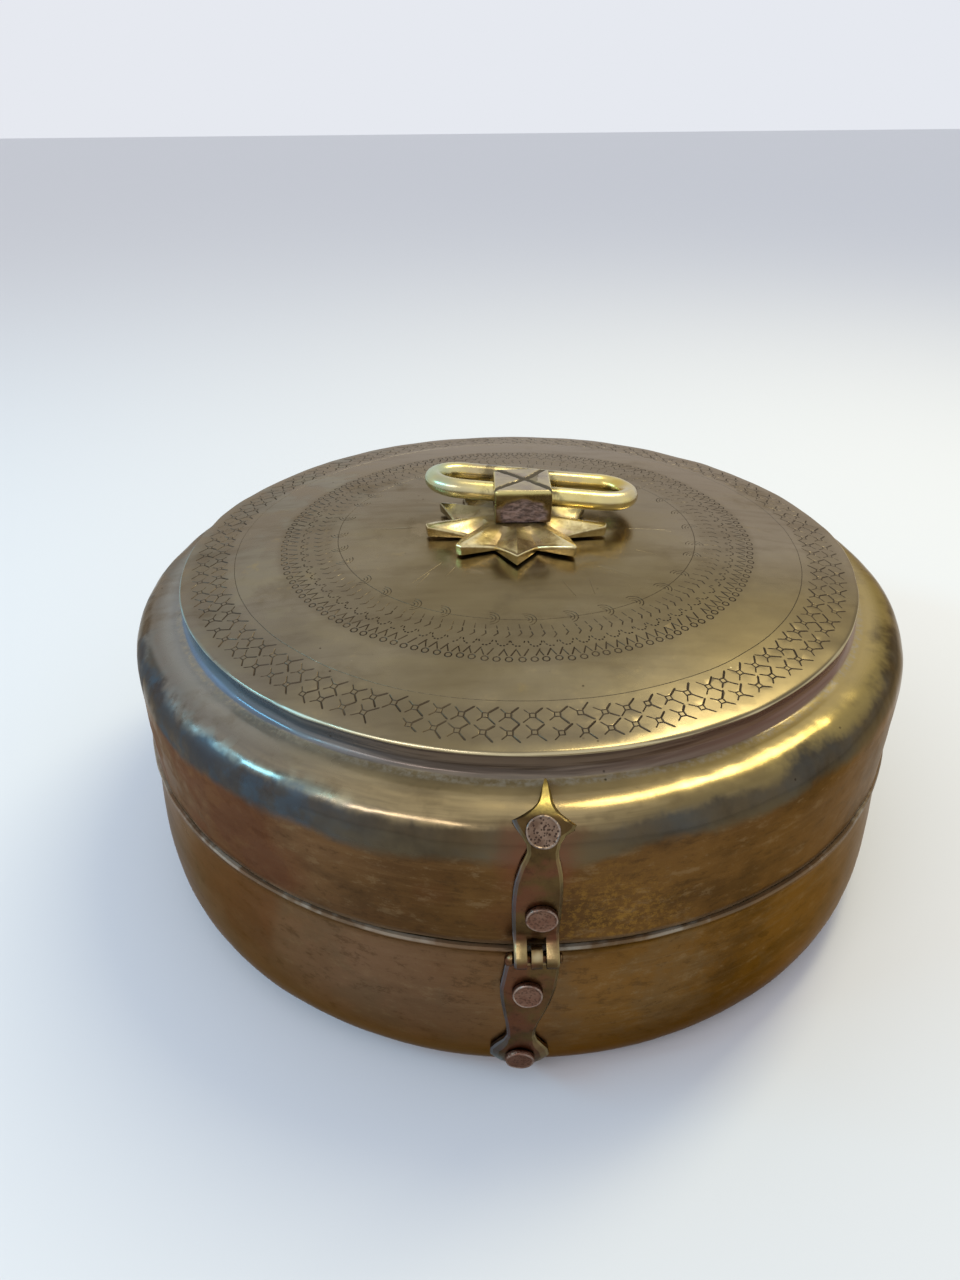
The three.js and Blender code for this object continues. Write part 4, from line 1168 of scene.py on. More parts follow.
def cast_finish():
    """Rubbed ridges and rims over dull olive faces, a painted pinkish highlight on the grooves between the
    petals, and painted shade near the hub and on the back petals.
    """
    f = Finish("cast_brass")
    cloudy = f.noise(110, 4)
    grain = f.noise(420, 5, 0.7)
    mark = f.mark("worn")
    near_hub = f.from_axis().rise(24, 14)
    colour = f.layers(
        (178, 156, 104),
        (cloudy.rise(0.34, 0.62), (230, 212, 160)),
        (0.35 * grain.rise(0.5, 0.66), (128, 110, 70)),
        # Painted highlight: a pinkish highlight on the valley faces between the petals.
        (0.75 * mark.rise(-0.1, -0.8), (226, 196, 168)),
        (mark.rise(0.1, 1.0) * cloudy.levels(0.5, 1.2), (226, 212, 164)),
        # Painted shade: darker near the hub, under the post; it is also rougher there.
        (0.6 * near_hub, (122, 102, 62)),
        # Painted shade: the back petals, behind the post, painted darker.
        (0.7 * f.y.rise(-2, 6), (92, 86, 62)),
    )
    roughness = (0.5 * cloudy + 0.5 * grain).levels(0.14, 0.34) + 0.22 * near_hub
    return f.finish(colour, roughness, grain, 0.14)


def ring_finish():
    """Polished by hands, yellow with pale grey, a painted sea-green reflection on the left, and dark where
    it meets the post.
    """
    f = Finish("ring_brass")
    cloudy = f.noise(42, 4, 0.55)
    cool_reflection_left = f.x.rise(-12, -34) * f.noise(45, 2, 0.4).rise(0.36, 0.66)
    at_post = f.x.rise(21, 14.5) * f.x.rise(-16.5, -10)
    colour = f.layers(
        (206, 178, 94),
        (cloudy.rise(0.3, 0.66), (236, 218, 150)),
        (0.6 * f.noise((50, 80, 80), 3, 0.5).rise(0.42, 0.68), (182, 168, 146)),
        # Painted reflection: sea-green patches on the left of the ring.
        (0.6 * cool_reflection_left, (140, 180, 160)),
        (0.8 * at_post * f.noise(160, 4, 0.7).rise(0.42, 0.6), (90, 78, 62)),
    )
    return f.finish(colour, cloudy.levels(0.18, 0.36), f.noise(500, 4), 0.06)


def post_finish():
    """Dull cast brass with a painted highlight along the top edge, and grime in the grooves and the hollow.
    """
    f = Finish("post_brass")
    cloudy = f.noise(120, 4)
    grimy = f.mark("grime")
    top = f.layers((158, 142, 120), (cloudy.rise(0.35, 0.65), (184, 168, 132)))
    grime = f.layers(
        (72, 54, 47),
        (f.noise((260, 700, 900), 4, 0.7).rise(0.38, 0.62), (140, 114, 102)),
        (f.z.rise(145.2, 145.8), (50, 38, 30)),
    )
    colour = f.layers(
        (116, 98, 62),
        (cloudy.rise(0.35, 0.65), (142, 124, 82)),
        (0.6 * f.z.rise(143, 137), (92, 66, 50)),
        (f.z.rise(146.8, 147.5), top),
        # Painted highlight: a golden band along the post's top edge.
        (0.8 * f.z.rise(145.5, 146.6) * f.z.rise(147.8, 147.4), (216, 200, 130)),
        (0.95 * grimy, grime),
    )
    roughness = cloudy.levels(0.2, 0.38) + 0.5 * grimy
    return f.finish(colour, roughness, f.noise(420, 4, 0.7), 0.18, 1 - 0.95 * grimy)


materials = {
    "lid_brass": lid_finish(),
    "body_brass": body_finish(),
    "inner_brass": inner_finish(),
    "strap_brass": strap_finish(),
    "rivet_copper": copper_finish(),
    "cast_brass": cast_finish(),
    "post_brass": post_finish(),
    "ring_brass": ring_finish(),
}


# Lid, body and collar


def lid_shell():
    shape = Shape()
    top = shape.add(round_row(DISC_FLAT_RADIUS, dome_height(DISC_FLAT_RADIUS)))
    wall_steps = 12
    wall_reach = WALL_TOP_Z - LID_RIM_Z - 0.5
    outside = [(DISC_RADIUS + out, DISC_Z - down) for out, down in STEP_LINE]
    outside += shoulder_line(34, 0.045)
    outside += [(WALL_RADIUS, WALL_TOP_Z - wall_reach * (i + 1) / wall_steps) for i in range(wall_steps)]
    outside += [
        (WALL_RADIUS - 0.15, LID_RIM_Z + 0.12), (WALL_RADIUS - 0.45, LID_RIM_Z),
        (WALL_RADIUS - SHEET + 0.3, LID_RIM_Z),
    ]
    inside = shoulder_line(14) + [(WALL_RADIUS, LID_RIM_Z + 10), (WALL_RADIUS, LID_RIM_Z + 0.4)]
    inside = offset_line(inside, SHEET)
    inside[0] = (GROOVE_RADIUS - SHEET, GROOVE_Z - SHEET)
    under_edge = [
        (GROOVE_RADIUS - SHEET, DISC_Z - 2.2),
        (UNDER_DISC_RADIUS, dome_height(UNDER_DISC_RADIUS) - SHEET),
    ]
    rows = revolve(shape, outside + inside[::-1] + under_edge, start=top)
    hole_top = add_disc(shape, top, DISC_FLAT_RADIUS, dome_height, engraved_disc())
    hole_under = add_disc(
        shape, rows[-1], UNDER_DISC_RADIUS, lambda radius: dome_height(radius) - SHEET, coarse=12, flip=True,
    )
    shape.bridge(hole_under, hole_top)
    shape.moved(beaten_lid)
    make_piece(shape, "lid_shell", "beaten", "lid", "lid_brass", 32, "engraved")


def body_shell():
    shape = Shape()
    lip = [
        (RIM_RADIUS - SHEET, RIM_Z - 0.25), (RIM_RADIUS - SHEET + 0.35, RIM_Z),
        (RIM_RADIUS + LIP_OUT * 0.45, RIM_Z), (RIM_RADIUS + LIP_OUT * 0.85, RIM_Z - 0.3),
        (RIM_RADIUS + LIP_OUT, RIM_Z - 0.9), (RIM_RADIUS + LIP_OUT * 0.8, RIM_Z - 1.6),
        (RIM_RADIUS + LIP_OUT * 0.3, RIM_Z - 2.1),
    ]
    outside = body_outside(16, 22)
    inside = offset_line(outside, SHEET)
    inside[0] = (RIM_RADIUS - SHEET, RIM_Z - LIP_HEIGHT)
    base = [(BELLY_RADIUS - BASE_CORNER_REACH - way, 0) for way in (4, 20, 60, 100, 128)]
    bottom = [(radius, SHEET) for radius, _ in base]
    rows = revolve(shape, bottom[::-1] + inside[::-1] + lip + outside + base)
    shape.cap(rows, (0, 0, SHEET), (0, 0, 0))
    shape.moved(beaten_body)
    centre = Vector((0, 0, RIM_Z / 2))
    shape.mark_faces(lambda corners: float(
        (corners[1] - corners[0]).cross(corners[2] - corners[0]).dot(corners[0] - centre) > 0
    ))
    make_piece(shape, "body_shell", "beaten", "body", "body_brass", mark_name="inner")


def body_collar():
    shape = Shape()
    low, high = (corner.z for corner in node_box("body_collar"))
    seated_at = RIM_RADIUS - SHEET - SEAT_GAP
    raised = min(seated_at, WALL_RADIUS - SHEET - 0.4)
    outside = [
        (seated_at - 0.3, low), (seated_at, low + 0.3), (seated_at, RIM_Z - COLLAR_JOG), (raised, RIM_Z),
        (raised - COLLAR_LEAD * 0.5, (RIM_Z + high) / 2), (raised - COLLAR_LEAD, high - 0.5),
        (raised - COLLAR_LEAD - 0.35, high),
    ]
    inside = [(radius - SHEET + 0.3, height) for radius, height in outside[1:-1]]
    top_edge = (outside[-1][0] - 0.5, high)
    foot = (seated_at - SHEET + 0.3, low)
    revolve(shape, outside + [top_edge] + inside[::-1] + [foot], joined=True)
    shape.moved(beaten_body)
    make_piece(shape, "body_collar", "hoop", "body", "inner_brass")


# Straps


class Station:
    """A row across a strap: a (radius, height) point, its edges, and how the strap is worked there."""

    def __init__(self, point, left, right, wrap=1.0, thickness=STRAP_THICKNESS, curled=0.0):
        self.point = Vector(point)
        self.left = left
        self.right = right
        self.wrap = wrap
        self.thickness = thickness
        self.out = Vector((1, 0))
        self.chamfer = CHAMFER * (1 - CURL_CHAMFER_LOSS * curled)
        self.depth = CHAMFER_DEPTH * (1 - CURL_DEPTH_LOSS * curled)
        self.slot = SLOT_HALF_WIDTH


def curl_stations(leaf_in, side, end_shares, half_width):
    """The bend off the wall and the curl round the pin, with the leaf above (+1) or below (-1)."""
    left, right = (share * half_width for share in end_shares[1:])
    down, over = sin(CURL_START), cos(CURL_START)
    slope = (leaf_in - CURL_RADIUS * over) / down
    corner = Vector((leaf_in, CURL_RADIUS * down - slope * over))
    start = corner + Vector((0, BEND_REACH))
    end = corner + Vector((-down, over)) * BEND_REACH
    places = [(start * (1 - t) ** 2 + corner * 2 * t * (1 - t) + end * t ** 2, t) for t in BEND_SHARES]
    for i in range(1, CURL_STEPS + 1):
        places.append((polar(CURL_RADIUS, CURL_START + (CURL_END - CURL_START) * i / CURL_STEPS), 1))
    stations = []
    for place, bent in places:
        share = smooth_step(0, 1, bent)
        stations.append(Station(
            (PIN_OUT - place.x, PIN_Z + side * place.y),
            left + (-KNUCKLE_HALF_WIDTH - left) * share, right + (KNUCKLE_HALF_WIDTH - right) * share,
            1 - share, STRAP_THICKNESS + (KNUCKLE_THICKNESS - STRAP_THICKNESS) * bent, share,
        ))
    return stations, start.y


def leaf_rows(shares, length, half_width):
    """The outline's rows in millimetres, from its first, and more between them."""
    rows = []
    for here, onward in zip(shares, shares[1:]):
        steps = max(1, round((onward[0] - here[0]) * length / ROW_SPACING))
        rows += [[a + (b - a) * (i / steps) for a, b in zip(here, onward)] for i in range(steps)]
    rows.append(shares[-1])
    return [(way * length, left * half_width, right * half_width) for way, left, right in rows]


def face_outwards(stations, sign):
    for i, station in enumerate(stations):
        before, after = neighbours(stations, i)
        run = (after.point - before.point).normalized()
        station.out = Vector((-run.y, run.x)) * sign
    return stations


def strap_point(station, across, level):
    """Where a point of a strap lies on the -Y side of the box."""
    radius = station.point.x
    sag = station.wrap * (radius - sqrt(max(0, radius ** 2 - across ** 2)))
    return Vector((across, -(radius + station.out.x * level - sag), station.point.y + station.out.y * level))


def strap_columns(station, slotted, slant):
    """Where a row's columns lie across it, and what share of the chamfer lowers each of them."""
    centre = (station.left + station.right) / 2
    half = (station.right - station.left) / 2
    low = max(-station.slot, centre - 0.45 * half)
    high = min(station.slot, centre + 0.45 * half)
    sides = []
    for edge, inner, lean in ((station.left, low, slant[0]), (station.right, high, slant[1])):
        width = abs(inner - edge)
        way = 1 if inner > edge else -1
        crease = min(station.chamfer * lean, 0.62 * width)
        last = max(crease, width - min(0.35, 0.3 * width))
        places = ((0, 1), (crease * 0.3, 0.6), (crease, 0), (last, 0), (width, 0.3 if slotted else 0))
        sides.append([(edge + way * place, drop) for place, drop in places])
    return sides[0] + [((low + high) / 2, 0)] + sides[1][::-1]


def slants(stations, i):
    """How much longer each edge of a row is than it would be if it ran straight along the strap."""
    before, after = neighbours(stations, i)
    run = max((after.point - before.point).length, 0.01)
    spreads = after.left - before.left, after.right - before.right
    return [min(2.2, hypot(1, spread / run)) for spread in spreads]


def strap_shape(stations, missing):
    """A chamfered strap through its stations. missing(station, in_middle) says what is cut out."""
    shape = Shape()
    top, bottom = [], []
    for i, station in enumerate(stations):
        upper, lower = [], []
        for across, drop in strap_columns(station, missing(station, True), slants(stations, i)):
            level = station.thickness / 2
            dents = 0.1 + uneven(strap_point(station, across, level), STRAP_DENTS)
            lowered = station.depth * max(drop, 0.8 if i == 0 else 0)
            upper.append(strap_point(station, across, level - lowered - dents))
            lower.append(strap_point(station, across, -level))
        top.append(shape.add(upper))
        bottom.append(shape.add(lower))
    spans = len(top[0]) - 1
    open_edges = {}
    for i in range(len(stations) - 1):
        for k in range(spans):
            in_middle = k in MIDDLE_SPANS
            if missing(stations[i], in_middle) and missing(stations[i + 1], in_middle):
                continue
            from_edge = min(k, spans - 1 - k)
            worn = (0.85, 0.4)[from_edge] if from_edge < 2 else 0.0
            quad = ((i, k), (i, k + 1), (i + 1, k + 1), (i + 1, k))
            shape.face([top[a][b] for a, b in quad], worn if i else 1.0)
            shape.face([bottom[a][b] for a, b in reversed(quad)])
            for edge in zip(quad, quad[1:] + quad[:1]):
                if open_edges.pop(edge[::-1], None) is None:
                    open_edges[edge] = True
    for (a, b), (c, d) in open_edges:
        shape.face((top[c][d], top[a][b], bottom[a][b], bottom[c][d]), 0.5)
    return shape.pruned()


def lid_seat(along):
    point, run = lid_run.at(along)
    return point, Vector((run.y, -run.x))


def body_seat(along):
    point, run = body_run.at(along)
    return point, Vector((-run.y, run.x))


lid_leaf_in = PIN_OUT - (WALL_RADIUS + SEAT_GAP + STRAP_THICKNESS / 2)
body_leaf_in = PIN_OUT - (RIM_RADIUS + SEAT_GAP + STRAP_THICKNESS / 2)
lid_curl, lid_start_rise = curl_stations(lid_leaf_in, 1, LID_STRAP_SHARES[-1], LID_STRAP_HALF_WIDTH)
body_curl, body_start_rise = curl_stations(body_leaf_in, -1, BODY_STRAP_SHARES[0], BODY_STRAP_HALF_WIDTH)
hasp_curl = curl_stations(lid_leaf_in, 1, HASP_SHARES[-1], HASP_HALF_WIDTH)[0]
lid_leaf_foot = PIN_Z + lid_start_rise - LID_RIM_Z
body_leaf_head = RIM_Z - PIN_Z + body_start_rise
knuckle_slot_top = PIN_Z + KNUCKLE_RADIUS + SLOT_TOP_RISE
in_front = Matrix.Identity(4)
behind = Matrix.Rotation(pi, 4, "Z")


def seated(seat, left, right):
    point, out = seat
    return Station(point + out * (SEAT_GAP + STRAP_THICKNESS / 2), left, right)


def below_slot_top(station, in_middle):
    """The slot between two knuckles, open from a little above them to the strap's end."""
    return in_middle and station.point.y < knuckle_slot_top


def hinge_lid_strap():
    leaf = [
        seated(lid_seat(lid_leaf_foot + LID_STRAP_LENGTH - from_tip), left, right)
        for from_tip, left, right in leaf_rows(LID_STRAP_SHARES, LID_STRAP_LENGTH, LID_STRAP_HALF_WIDTH)
    ]
    shape = strap_shape(face_outwards(leaf + lid_curl, 1), below_slot_top)
    make_piece(shape, "hinge_lid_strap", "forged", "lid", "strap_brass")


def beside_tongue(station, in_middle):
    """All of the body strap's curl but its tongue."""
    out, rise = station.point.x - PIN_OUT, station.point.y - PIN_Z
    curled = rise > -KNUCKLE_RADIUS - SEAT_GAP or (out > -CURL_RADIUS / 2 and rise > -2 * KNUCKLE_RADIUS)
    return not in_middle and curled


def body_strap(label, turn):
    leaf = []
    for from_head, left, right in leaf_rows(BODY_STRAP_SHARES, BODY_STRAP_LENGTH, BODY_STRAP_HALF_WIDTH):
        station = seated(body_seat(body_leaf_head + from_head), left, right)
        on_wing = smooth_step(WING_START_SHARE, WING_FULL_SHARE, from_head / BODY_STRAP_LENGTH)
        station.chamfer = CHAMFER + (WING_CHAMFER - CHAMFER) * on_wing
        leaf.append(station)
    stations = leaf[::-1] + body_curl
    for station in stations:
        station.slot = TONGUE_HALF_WIDTH
    for station in body_curl:
        station.point.y += TONGUE_RISE * max(0, station.point.y - PIN_Z)
    shape = strap_shape(face_outwards(stations, -1), beside_tongue).turned(turn)
    make_piece(shape, f"{label}_body_strap", "forged", "body", "strap_brass")


def hasp():
    """Built shut, up against the lid's wall, then turned down to where it hangs."""
    reach = lid_leaf_in + STRAP_THICKNESS / 2
    wire_reach = STAPLE_HALF_SPACING + STAPLE_RADIUS
    slot_high = hypot(STAPLE_RISE + wire_reach, WALL_RADIUS + STAPLE_OUT - PIN_OUT) + STAPLE_SLOT_GAP
    slot_low = sqrt((STAPLE_RISE - wire_reach - STAPLE_SLOT_GAP) ** 2 - reach ** 2)
    leaf = []
    for from_tip, left, right in leaf_rows(HASP_SHARES, HASP_LENGTH, HASP_HALF_WIDTH):
        flare = max(0, 1 - from_tip / HASP_FLARE_LENGTH) ** 2
        rise = lid_start_rise + HASP_LENGTH - from_tip
        station = Station((PIN_OUT - lid_leaf_in + HASP_TIP_FLARE * flare, PIN_Z + rise), left, right)
        if slot_low - 3 < rise < slot_high + 3:
            station.slot = STAPLE_RADIUS + STAPLE_SLOT_GAP
        leaf.append(station)

    def in_slot(station, in_middle):
        at_staple = slot_low < station.point.y - PIN_Z < slot_high
        return in_middle and (at_staple or station.point.y < knuckle_slot_top)

    face_in = PIN_OUT - (BELLY_RADIUS + SEAT_GAP + STRAP_THICKNESS)
    tip_in = face_in + reach - STRAP_THICKNESS - HASP_TIP_FLARE - SEAT_GAP
    lean = asin(tip_in / (HASP_LENGTH + lid_start_rise))
    pin = Matrix.Translation((0, -PIN_OUT, PIN_Z))
    turn = behind @ pin @ Matrix.Rotation(pi + lean, 4, "X") @ pin.inverted()
    shape = strap_shape(face_outwards(leaf + hasp_curl, 1), in_slot).turned(turn)
    make_piece(shape, "hasp", "forged", "hasp", "strap_brass")


# Pins and rivets


def lathe_shape(profile, steps):
    """A closed turned form whose profile of (radius, height) starts and ends on its axis."""
    shape = Shape()
    rows = revolve(shape, profile[1:-1], steps)
    shape.cap(rows, (0, 0, profile[0][1]), (0, 0, profile[-1][1]))
    return shape


def hinge_pin(label, turn):
    """Its head stands out at one end and is knocked a little downwards. The other end is flush."""
    end = KNUCKLE_HALF_WIDTH + SEAT_GAP
    head = [(0, 2.5), (0.9, 2.4), (1.6, 1.9), (1.95, 1.1), (1.9, 0.3), (1.5, 0), (PIN_RADIUS, -0.3)]
    foot = [(PIN_RADIUS, 0), (1.55, 0.1), (1.5, 0.5), (0.9, 0.75), (0, 0.8)]
    profile = [(radius, -end - out) for radius, out in head] + [(radius, end + out) for radius, out in foot]

    def placed(point):
        knocked = smooth_step(-end, -end - 2.4, point.z)
        dent = 1 + 0.1 * knocked * lumps(point, 1.5, 21)
        return turn @ Vector((point.z, -PIN_OUT + point.x * dent, PIN_Z + point.y * dent - 0.7 * knocked))

    shape = lathe_shape(profile, 20).moved(placed)
    make_piece(shape, f"{label}_pin", "worn", "body", "strap_brass")


def rivet_matrix(seat, across):
    point, out = seat
    turn = across / point.x
    radial = Vector((sin(turn), -cos(turn), 0))
    outward = radial * out.x + Vector((0, 0, out.y))
    tangent = Vector((cos(turn), sin(turn), 0))
    place = radial * point.x + Vector((0, 0, point.y)) + outward * (SEAT_GAP + STRAP_THICKNESS)
    return placed_by_axes(place, tangent, outward.cross(tangent), outward)


def rivet(name, body, seat, across, turn, seed):
    """A flat, pitted head with a thin raised rim, and the end peened over inside the sheet."""
    place = turn @ rivet_matrix(seat, across)
    back = place.inverted()
    deepest = min((back @ (vertex.co / MM)).z for vertex in frame["nodes"][name].data.vertices)
    r, top = RIVET_HEAD_RADIUS, RIVET_HEAD_HEIGHT
    rng = random.Random(seed)
    dome = rng.uniform(-0.1, 0.2)
    peen_shares = [(0, 0.05), (0.5, 0.1), (0.85, 0.4), (1, 0.9), (0.95, RIVET_PEEN_HEIGHT)]
    profile = [(RIVET_PEEN_RADIUS * share, deepest + rise) for share, rise in peen_shares]
    profile += [(RIVET_SHANK_RADIUS, deepest + RIVET_PEEN_HEIGHT), (RIVET_SHANK_RADIUS, 0.1)]
    profile += [(r * 0.96, 0.05), (r, 0.5), (r, 1.1), (r * 0.985, 1.5)]
    profile += [(r * 0.95, top * 0.9), (r * 0.9, top * 0.93), (r * 0.86, top * 0.86)]
    profile += [(r * tenth / 10, top * 0.8 + dome * (1 - (tenth / 10) ** 2)) for tenth in range(8, -1, -1)]
    lean = Vector((rng.uniform(-0.02, 0.02), rng.uniform(-0.02, 0.02)))

    def hammered(point):
        on_head = smooth_step(0, 0.6, point.z)
        angle = atan2(point.y, point.x)
        swell = 1 - 0.02 * on_head * (1 + sin(2 * angle + seed) + 0.5 * sin(5 * angle + 2 * seed))
        on_face = on_head * smooth_step(r * 0.92, r * 0.8, hypot(point.x, point.y))
        pit = 0.16 * max(0, lumps(point, 0.5, seed) - 0.1) * on_face
        slope = (point.x * lean.x + point.y * lean.y) * on_head
        return place @ Vector((point.x * swell, point.y * swell, point.z - pit + slope - 0.08 * on_head))

    shape = lathe_shape(profile, 44)

    def on_rim(corners):
        high = mean(point.z for point in corners) > top * 0.7
        return float(high and mean(point.xy.length for point in corners) > r * 0.84)

    shape.mark_faces(on_rim)
    shape.moved(hammered)
    make_piece(shape, name, "peened", body, "rivet_copper", 50)


def fitting_on_body(label, turn, seed):
    body_strap(label, turn)
    hinge_pin(label, turn)
    from_head, across = BODY_RIVETS["upper"]
    rivet(f"{label}_body_rivet_upper", "body", body_seat(body_leaf_head + from_head), across, turn, seed)
    from_foot, across = BODY_RIVETS["lower"]
    low_seat = body_seat(body_leaf_head + BODY_STRAP_LENGTH - from_foot)
    rivet(f"{label}_body_rivet_lower", "body", low_seat, across, turn, seed + 1)


def lid_rivets():
    from_tip, across = LID_RIVETS["upper"]
    high_seat = lid_seat(lid_leaf_foot + LID_STRAP_LENGTH - from_tip)
    rivet("hinge_lid_rivet_upper", "lid", high_seat, across, in_front, 5)
    from_foot, across = LID_RIVETS["lower"]
    rivet("hinge_lid_rivet_lower", "lid", lid_seat(lid_leaf_foot + from_foot), across, in_front, 6)


# Staple and rove


def tube(shape, path, side, radius_at, sides, closed=False):
    """A bar along a flat path whose plane has the given normal. Returns its rows."""
    rows = []
    for i, centre in enumerate(path):
        before, after = neighbours(path, i, closed)
        across = (after - before).normalized().cross(side)
        row = []
        for k in range(sides):
            angle = 2 * pi * k / sides
            way = side * cos(angle) + across * sin(angle)
            row.append(centre + way * radius_at(centre + way))
        rows.append(shape.add(row))
    shape.skin(rows, joined=closed)
    return rows


def staple():
    bend, half = STAPLE_BEND, STAPLE_HALF_SPACING
    clench_in = -(node_box("staple")[0].y + STAPLE_RADIUS) + WALL_RADIUS
    arc_out = STAPLE_OUT - STAPLE_RADIUS - half
    leg = [(-clench_in, -half - bend - STAPLE_CLENCH + 0.3), (-clench_in, -half - bend - 0.6)]
    for i in range(6):
        angle = pi / 2 * i / 5
        leg.append((-clench_in + bend * (1 - cos(angle)), -half - bend * (1 - sin(angle))))
    leg += [(-clench_in + bend + (arc_out + clench_in - bend) * t, -half) for t in (0.25, 0.5, 0.75)]
    angles = [-pi / 2 + pi * i / 14 for i in range(15)]
    arc = [(arc_out + half * cos(angle), half * sin(angle)) for angle in angles]
    path = [
        Vector((0, WALL_RADIUS + out, PIN_Z + STAPLE_RISE + up))
        for out, up in leg + arc + [(out, -up) for out, up in reversed(leg)]
    ]

    def bar_radius(place):
        return STAPLE_RADIUS * (0.96 + 0.04 * lumps(place, 3, 31))

    shape = Shape()
    bar = tube(shape, path, Vector((1, 0, 0)), bar_radius, 14)
    shape.cap(bar, path[0] - Vector((0, 0, 0.3)), path[-1] + Vector((0, 0, 0.3)))
    shape.mark_faces(lambda corners: 0.8 if mean(point.y for point in corners) > WALL_RADIUS + 8 else 0.1)
    make_piece(shape, "staple", "bent", "lid", "strap_brass")


def staple_rove():
    """A thin plate with a hole for each leg of the staple and rounded corners."""
    low, high = node_box("staple_rove")
    half_width, half_height = (high.x - low.x) / 2, (high.z - low.z) / 2
    centre_z = (low.z + high.z) / 2

    def round_off(x, y, radius, angles):
        return [Vector((x + radius * cos(angle), y + radius * sin(angle))) for angle in angles]

    outline = []
    for turn, (x, y) in enumerate(((1, 1), (-1, 1), (-1, -1), (1, -1))):
        angles = [pi / 2 * (turn + i / 4) for i in range(5)]
        corner = x * (half_width - ROVE_CORNER), y * (half_height - ROVE_CORNER)
        outline += round_off(*corner, ROVE_CORNER, angles)
    round_angles = [2 * pi * i / 16 for i in range(16)]
    centres = [Vector((0, side * STAPLE_HALF_SPACING)) for side in (-1, 1)]
    loops = [outline] + [round_off(*centre, ROVE_HOLE_RADIUS, round_angles) for centre in centres]
    points, faces, sources = triangulated(loops)
    at = {k: i for i, source in enumerate(sources) for k in source}
    shape = Shape()
    layers = []
    bevelled = ((low.y, 0.97), (low.y + ROVE_BEVEL, 1), (high.y - ROVE_BEVEL, 1), (high.y, 0.97))
    for y, shrink in bevelled:
        scales = [shrink if min(source) < len(outline) else 1 for source in sources]
        layers.append(shape.add(
            (point.x * scale, y, centre_z + point.y * scale) for point, scale in zip(points, scales)
        ))
    for face in faces:
        middle = mean(points[k] for k in face)
        if min((middle - centre).length for centre in centres) >= ROVE_HOLE_RADIUS - 0.1:
            shape.face([layers[0][k] for k in face])
            shape.face([layers[-1][k] for k in reversed(face)])
    for near, far in zip(layers, layers[1:]):
        start = 0
        for loop in loops:
            ring = [at[start + i] for i in range(len(loop))]
            shape.bridge([near[k] for k in ring], [far[k] for k in ring], mark=1.0)
            start += len(loop)
    make_piece(shape.pruned(), "staple_rove", "cut", "lid", "inner_brass")


# Handle


def petal_columns():
    """Places round the star's edge, each with its share of the way from a valley to a tip."""
    columns = []
    for k, (angle, tip_radius, blunt) in enumerate(PETALS):
        next_angle = PETALS[(k + 1) % len(PETALS)][0] + (360 if k == len(PETALS) - 1 else 0)
        last_angle = PETALS[k - 1][0] - (360 if k == 0 else 0)
        tip = polar(1, radians(angle)) * tip_radius
        tangent = Vector((-tip.y, tip.x)).normalized()
        corners = [tip - tangent * blunt / 2, tip + tangent * blunt / 2]
        valleys = []
        for other in (last_angle, next_angle):
            middle = radians((angle + other) / 2)
            valleys.append(polar(1, middle) * (VALLEY_RADIUS * (1 + 0.04 * sin(3 * middle))))
        columns += [(valleys[0].lerp(corners[0], t), t) for t in (0, 0.25, 0.5, 0.75)]
        columns += [(corners[0], 0.97), (tip + tip.normalized() * 0.15, 1), (corners[1], 0.97)]
        columns += [(valleys[1].lerp(corners[1], t), t) for t in (0.75, 0.5, 0.25)]
    return columns


def rosette():
    """A cast star of ridged petals of uneven length, with blunt or sharp tips."""
    base = node_box("rosette")[0].z
    columns = petal_columns()
    angles = [atan2(point.y, point.x) for point, _ in columns]
    shape = Shape()
    hole = [Vector((POST_SHIFT, 0, 0)) + polar(HUB_HOLE_RADIUS, angle, 0) for angle in angles]
    rows = [shape.add(point + Vector((0, 0, z)) for point in hole) for z in (base, base + HUB_HEIGHT - 0.05)]

    def petal_edge(edge, crest, out, down):
        """A point of the rounded rim, so far outside the edge and below it."""
        height = VALLEY_HEIGHT + (PETAL_TIP_HEIGHT - VALLEY_HEIGHT) * crest ** 0.8
        place = edge.normalized() * (edge.length + out)
        return Vector((place.x, place.y, base + max(0, height - down)))

    for i in range(PETAL_STEPS + 1):
        share = i / PETAL_STEPS
        row = []
        for (edge, crest), angle in zip(columns, angles):
            hub = polar(1, angle, 0) * HUB_RADIUS
            hub.z = base + HUB_HEIGHT
            place = hub.lerp(petal_edge(edge, crest, RIM_ROUND[0][0], 0), share)
            hollow = 0.15 * sin(pi * crest) * sin(pi * min(1, share + 0.1))
            hollow += HUB_VALLEY_DEPTH * (1 - crest) ** 0.8 * sin(pi * share ** 0.6)
            dent = 0.11 + uneven((place.x, place.y, 0), ROSETTE_DENTS)
            row.append(place - Vector((0, 0, hollow + dent)))
        rows.append(shape.add(row))
    for out, down in RIM_ROUND[1:] + [(-0.3, HUB_HEIGHT)]:
        rows.append(shape.add(petal_edge(edge, crest, out, down) for edge, crest in columns))
    for k, (near, far) in enumerate(zip(rows, rows[1:])):
        for i in range(len(columns)):
            j = (i + 1) % len(columns)
            crest = (columns[i][1] + columns[j][1]) / 2
            mark = 0.0
            if 1 < k <= 1 + PETAL_STEPS:
                # Valley faces get a negative mark, on which the finish paints a pinkish highlight.
                mark = 0.7 if crest > 0.96 and k > 4 else -0.8 * (1 - min(1, crest / 0.26))
            elif 1 + PETAL_STEPS < k < 4 + PETAL_STEPS:
                mark = 0.15 + 0.55 * crest
            shape.face((near[i], near[j], far[j], far[i]), mark)
    shape.bridge(rows[-1], rows[0])
    make_piece(shape, "rosette", "cast", "lid", "cast_brass", 30)


def scratch_object(shape):
    mesh = shape.mesh("scratch")
    with edited(mesh) as bm:
        bmesh.ops.remove_doubles(bm, verts=bm.verts, dist=0.00001)
        bmesh.ops.recalc_face_normals(bm, faces=bm.faces)
    return linked("scratch", mesh)


